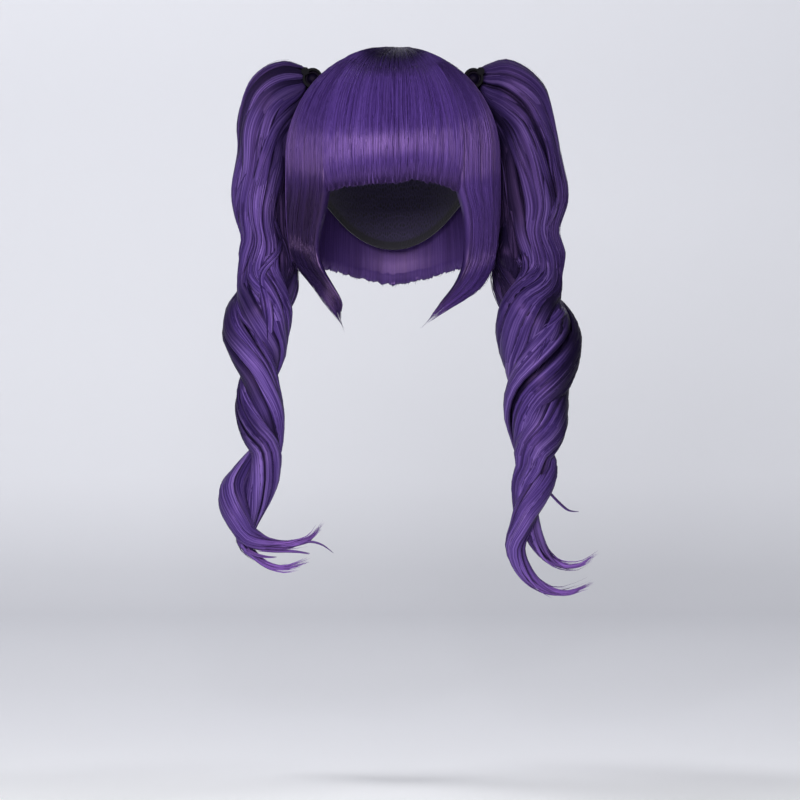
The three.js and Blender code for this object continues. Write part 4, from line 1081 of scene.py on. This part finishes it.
def addTailStrands(data, locks, number, steps, span):
    # strands lie on the locks, some stray off them, and the last of them make the wisps at the ends
    lock = dice.integers(0, len(locks["isTuft"]), number)
    start, ends = locks["start"][lock], locks["ends"][lock]
    whole = locks["stop"][lock] - start
    begin = start + whole * dice.random(number) * (1 - span)
    close = np.minimum(begin + whole * span * (0.6 + 0.5 * dice.random(number)), ends)
    t, stations = evenStations(locks, begin, close, steps)
    place = dice.uniform(-1, 1, number)[:, None] + 0.25 * np.sin(t * 3 + dice.random(number)[:, None] * 6)
    thick = locks["thick"][lock][:, None]
    shift = np.degrees(tail["lockWidth"]) * thick * place
    loft = 0.85 * tail["lockHeight"] * thick * np.sqrt(np.maximum(0, 1 - place ** 2))
    astray = np.abs(dice.normal(0, tail["astray"], number))[:, None] * np.sin(np.pi * t)
    paths, away, shade = lockCourse(locks, lock, stations, shift, loft + astray)
    width = widths(tail["strandWidth"], number) * taper(t, 0.08, 6, 0.04, 5)
    # painted shade, deeper for strands at a lock's sides
    dark = np.clip(shade * (0.6 + 0.6 * dice.random(number))[:, None] + 0.45 * place ** 2, 0, 1)
    tip = smoothStep(tail["tipFrom"], 1, stations / ends[:, None])
    addStrands(data, paths, away, width, width * 0.6, tip, dark)


def addEndWisps(data, locks):
    # the ends of each rope thin to wisps that carry on past it
    count, reach = tail["wisps"], tail["wisp"]
    for rope in locks["ropes"]:
        t = np.linspace(0, 1, 12)[None, :]
        begin = rope["station"][-1] * (0.86 + 0.08 * dice.random(count))[:, None]
        station = begin + (rope["station"][-1] - begin) * t
        turn = dice.random(count)[:, None] * 360 + 60 * t
        paths, away = ropePlace(rope, station, turn, np.full_like(station, 0.6))
        onwards = rope["tangent"][-1] * reach + np.array([0, 0, 0.35 * reach])
        drift = dice.normal(0, 1, (count, 1, 3)) * np.array([1.0, 1.6, 1.6])
        paths = paths + (t ** 3)[..., None] * onwards * dice.random(count)[:, None, None]
        paths = paths + (t ** 2)[..., None] * drift
        width = widths(tail["wispWidth"], count) * taper(t, 0.2, 4, 0.03, 1.6)
        addStrands(data, paths, away, width, width * 0.7, smoothStep(-0.3, 0.7, t), 0.0)


def addFlyaways(data, side):
    own = np.random.default_rng(29)
    t = np.linspace(0, 1, 26)
    for number, (count, spread, halfWidth, paintedShadeAndWeft, tip, line) in enumerate(flyaways[side]):
        middle = smoothColumns(np.array(line, float), t * (len(line) - 1))
        apart = spread * own.normal(0, 1, (count, 1, 3)) * np.array([0.5, 1.0, 0.5])
        loose = apart + (t * (1 - t))[None, :, None] * own.normal(0, 2, (count, 1, 3))
        paths = middle[None] + loose * (1 - 0.6 * t)[None, :, None]
        outward = np.broadcast_to(np.array([0.3, -1.0, 0.3]), paths.shape)
        width = halfWidth * taper(t, 0.1, 5, 0.04, 2.5) * np.ones((count, 1))
        draws = own if number else dice  # more wisps on one tail leave the draws of the other as they are
        addStrands(data, paths, outward, width, width * 0.8, tip, paintedShadeAndWeft, draws)


def dressTail(side, seed):
    data = startMesh()
    locks = planLocks(side, seed)
    addTailCores(data, side, locks["ropes"], seed)
    addTailLocks(data, locks, False, *tail["firmMesh"])
    addTailLocks(data, locks, True, *tail["tuftMesh"])
    addTailStrands(data, locks, *tail["longStrands"])
    addTailStrands(data, locks, *tail["shortStrands"])
    addEndWisps(data, locks)
    addFlyaways(data, side)
    finishMesh(data, "tail_hair_" + side, hairFibre["waved"], "tail_" + side)


dressTail("left", 77)
dressTail("right", 83)
print("tails dressed")


# Cap: powernet of nylon and elastane, warp-knitted and sewn with wefts. It is matt and nearly black, its
# mesh shows close by, and each weft stands up as a thin ridge.
cap = {
    "halfWidth": 75, "frontDepth": 94, "backDepth": 94, "height": 84, "widestLevel": -84,
    "wall": 1.2, "taperDepth": 150, "napeDrop": 165,
    "edgeAngles": (0, 30, 60, 78, 100, 120, 150, 180),
    "edgeDrops": (0.32, 0.35, 0.54, 0.72, 0.63, 0.72, 0.93, 1),  # shares of napeDrop at those angles
    "columns": 108, "rows": 92,
    "weftPitch": 9, "weftWidth": 0.16, "weftHeight": 0.5,  # mm, and the width as a share of the pitch
    "hem": 9, "hemHeight": 0.7, "meshPitch": 2.2,
    "threads": [(0.05, "#30264a"), (0.3, "#171122")], "weftColour": "#241a3c", "hemColour": "#15111d",
    "roughness": 0.85, "sheen": 0.25, "bump": 0.7, "relief": 0.6,
}


def stretchNet():
    material, tree = newMaterial("powernet with sewn wefts")
    place = addNode(tree, "ShaderNodeUVMap", {"uv_map": "fibre"}).outputs["UV"]
    holes = addNode(
        tree, "ShaderNodeTexVoronoi", {"feature": "DISTANCE_TO_EDGE", "voronoi_dimensions": "2D"},
        {"Scale": 1 / cap["meshPitch"]}, [(place, "Vector")],
    ).outputs["Distance"]
    ramp = addNode(tree, "ShaderNodeValToRGB", links=[(holes, "Fac")], stops=cap["threads"])
    colour = mixByAttribute(tree, ramp.outputs["Color"], "paintedShadeAndWeft", cap["weftColour"])
    colour = mixByAttribute(tree, colour, "tip", cap["hemColour"])
    sockets = {"Roughness": cap["roughness"], "Sheen Weight": cap["sheen"]}
    finishShader(tree, colour, sockets, holes, cap["bump"], cap["relief"], True)
    return material


def capPoint(angle, way, out):
    # the cap's sides draw in below the widest level
    below = np.maximum(0, way - quarterOf(cap))
    return formPoint(cap, angle, way, np.sqrt(1 - (below / cap["taperDepth"]) ** 2), out)


def capEdgeWay(angle):
    # the way from the crown down to the cap's edge, with the corners of the table rounded off
    fromFront = np.abs((angle[..., None] + np.linspace(-14, 14, 15) + 180) % 360 - 180)
    drop = np.interp(fromFront, cap["edgeAngles"], cap["edgeDrops"]).mean(-1) * cap["napeDrop"]
    level = cap["height"] - drop
    radius = (cap["halfWidth"] + cap["height"]) / 2
    over = radius * np.arccos(np.clip(level / cap["height"], -1, 1))
    return np.where(level > 0, over, quarterOf(cap) - level)


def dressCap():
    data = startMesh()
    columns, rows = cap["columns"], cap["rows"]
    angle = np.arange(columns)[None, :] * 360 / columns
    edge = capEdgeWay(angle)
    way = edge * np.maximum(np.linspace(0, 1, rows)[:, None], 0.01)
    weft = np.exp(-(((way / cap["weftPitch"]) % 1 - 0.5) / cap["weftWidth"]) ** 2)
    hem = smoothStep(-cap["hem"], -cap["hem"] + 2, way - edge)
    rise = cap["weftHeight"] * weft * (1 - hem) + cap["hemHeight"] * hem
    rise = rise * smoothStep(0, 30, way)
    outer, inner = capPoint(angle, way, cap["wall"] + rise * 0.5), capPoint(angle, way, -rise * 0.5)
    u = np.linspace(0, 1, columns + 1)[None, :] * 2 * np.pi * cap["halfWidth"]
    ways, wefts, hems = (np.concatenate([value, value[::-1]], 0) for value in (way, weft * (1 - hem), hem))
    addTube(data, np.concatenate([outer, inner[::-1]], 0), stacked(u, ways[:, :1]), wefts, hems)
    finishMesh(data, "cap_net", stretchNet(), "cap")


dressCap()

# Claw clip: ABS, injection moulded with a satin finish. It is black with a soft gloss, which the mould
# leaves a little wavy.
clipFinish = {
    "shades": [(0.3, "#050408"), (0.7, "#0a0810")], "roughness": 0.68, "specular": 0.08,
    "waves": 160, "bump": 0.15, "relief": 0.4,  # waves to the metre, and mm
}


def mouldedAbs():
    material, tree = newMaterial("moulded ABS, black")
    place = addNode(tree, "ShaderNodeTexCoord").outputs["Object"]
    scale = {"Scale": clipFinish["waves"], "Detail": 2.0}
    waves = addNode(tree, "ShaderNodeTexNoise", None, scale, [(place, "Vector")]).outputs["Fac"]
    ramp = addNode(tree, "ShaderNodeValToRGB", links=[(waves, "Fac")], stops=clipFinish["shades"])
    sockets = {"Roughness": clipFinish["roughness"], "Specular IOR Level": clipFinish["specular"]}
    finishShader(tree, ramp.outputs["Color"], sockets, waves, clipFinish["bump"], clipFinish["relief"])
    return material


def recoat(material, *nodes):
    for node in nodes:
        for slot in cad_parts[node].material_slots:
            slot.material = material


recoat(mouldedAbs(), "claw_clip_left", "claw_clip_right")
print("cap and clips finished")

# Camera in front of the wig, level with the middle of the tails, in metres
cameraPlace = {"x": 0.0063, "distance": 2.4, "height": -0.3018, "frameWidth": 0.72, "sensor": 36}
camera = addObject("camera", bpy.data.cameras.new("camera"))
camera.location = (cameraPlace["x"], -cameraPlace["distance"], cameraPlace["height"])
camera.rotation_euler = (np.pi / 2, 0, 0)
camera.data.sensor_width = cameraPlace["sensor"]
camera.data.lens = cameraPlace["sensor"] * cameraPlace["distance"] / cameraPlace["frameWidth"]
bpy.context.scene.camera = camera

# Studio, in metres: a pale paper sweep, a soft key in front, and a light on each half of the paper
studio = {
    "floor": -0.629, "front": -4.0, "sweepDepth": 1.6, "sweepRadius": 0.9, "halfWidth": 3.2, "height": 3.4,
    "sky": "#e2e3ea", "skyStrength": 0.15,
    "key": 72, "paperLights": {"left": 36, "right": 17},  # watts
    # how far along the paper from its front edge, and its colour there, with painted light and shade:
    # lightest on the floor in front and dimmest where its rise starts
    "paper": (
        (3.78, "#fbfcff"), (3.98, "#f3f4f9"), (4.3, "#ebecf2"), (4.65, "#e2e3e9"), (5.1, "#dadbe1"),
        (5.66, "#d0d1d7"), (5.9, "#d3d4da"), (6.08, "#dddee4"), (6.2, "#e4e5eb"), (6.5, "#e6e7ed"),
    ),
}


def makeSweep():
    turn = np.linspace(0, np.pi / 2, 24)
    radius, deep, wide = studio["sweepRadius"], studio["sweepDepth"], studio["halfWidth"]
    y = np.concatenate([[studio["front"]], deep + radius * np.sin(turn), [deep + radius]])
    z = np.concatenate([[0.0], radius * (1 - np.cos(turn)), [studio["height"]]])
    points = [(x, b, studio["floor"] + c) for b, c in zip(y, z) for x in (-wide, wide)]
    faces = [(2 * i, 2 * i + 1, 2 * i + 3, 2 * i + 2) for i in range(len(y) - 1)]
    mesh = bpy.data.meshes.new("sweep")
    mesh.from_pydata(points, [], faces)
    mesh.polygons.foreach_set("use_smooth", [True] * len(faces))
    length = np.concatenate([[0], np.cumsum(np.hypot(np.diff(y), np.diff(z)))])
    layer = mesh.uv_layers.new(name="paper")
    for loop in mesh.loops:
        layer.uv[loop.index].vector = (length[loop.vertex_index // 2] / length[-1], 0)
    material, tree = newMaterial("background paper, matt")
    place = addNode(tree, "ShaderNodeUVMap", {"uv_map": "paper"}).outputs["UV"]
    along = addNode(tree, "ShaderNodeSeparateXYZ", links=[(place, "Vector")]).outputs["X"]
    # the paper's colour ramp paints its light and shade
    stops = [(way / length[-1], hexColour) for way, hexColour in studio["paper"]]
    ramp = addNode(tree, "ShaderNodeValToRGB", links=[(along, "Fac")], stops=stops)
    finishShader(tree, ramp.outputs["Color"], {"Roughness": 0.95})
    mesh.materials.append(material)
    sweep = addObject("sweep", mesh)


def softLight(name, place, aim, size, power):
    lamp = bpy.data.lights.new(name, "AREA")
    lamp.shape = "RECTANGLE"
    lamp.size, lamp.size_y = size
    lamp.energy = power
    light = addObject(name, lamp)
    light.location = place
    light.rotation_mode = "QUATERNION"
    light.rotation_quaternion = (Vector(aim) - Vector(place)).to_track_quat("-Z", "Y")
    return light


makeSweep()
softLight("key", (-0.35, -2.5, 0.35), (0, 0, -0.2), (1.1, 0.8), studio["key"])
for side, power in studio["paperLights"].items():
    x = sideSign[side]
    place, aim = (x * 1.3, 0.8, 2.2), (x * 0.55, 2.5, 0)
    paperLight = softLight("paper_light_" + side, place, aim, (1.4, 0.6), power)
    paperLight.visible_glossy = False  # as if flagged off the hair, whose crown would mirror it
world = bpy.data.worlds.new("studio")
bpy.context.scene.world = world
world.use_nodes = True
sky = world.node_tree.nodes["Background"].inputs
sky["Color"].default_value = linearColour(studio["sky"])
sky["Strength"].default_value = studio["skyStrength"]
bpy.context.scene.view_settings.view_transform = "Standard"
print("studio lit")
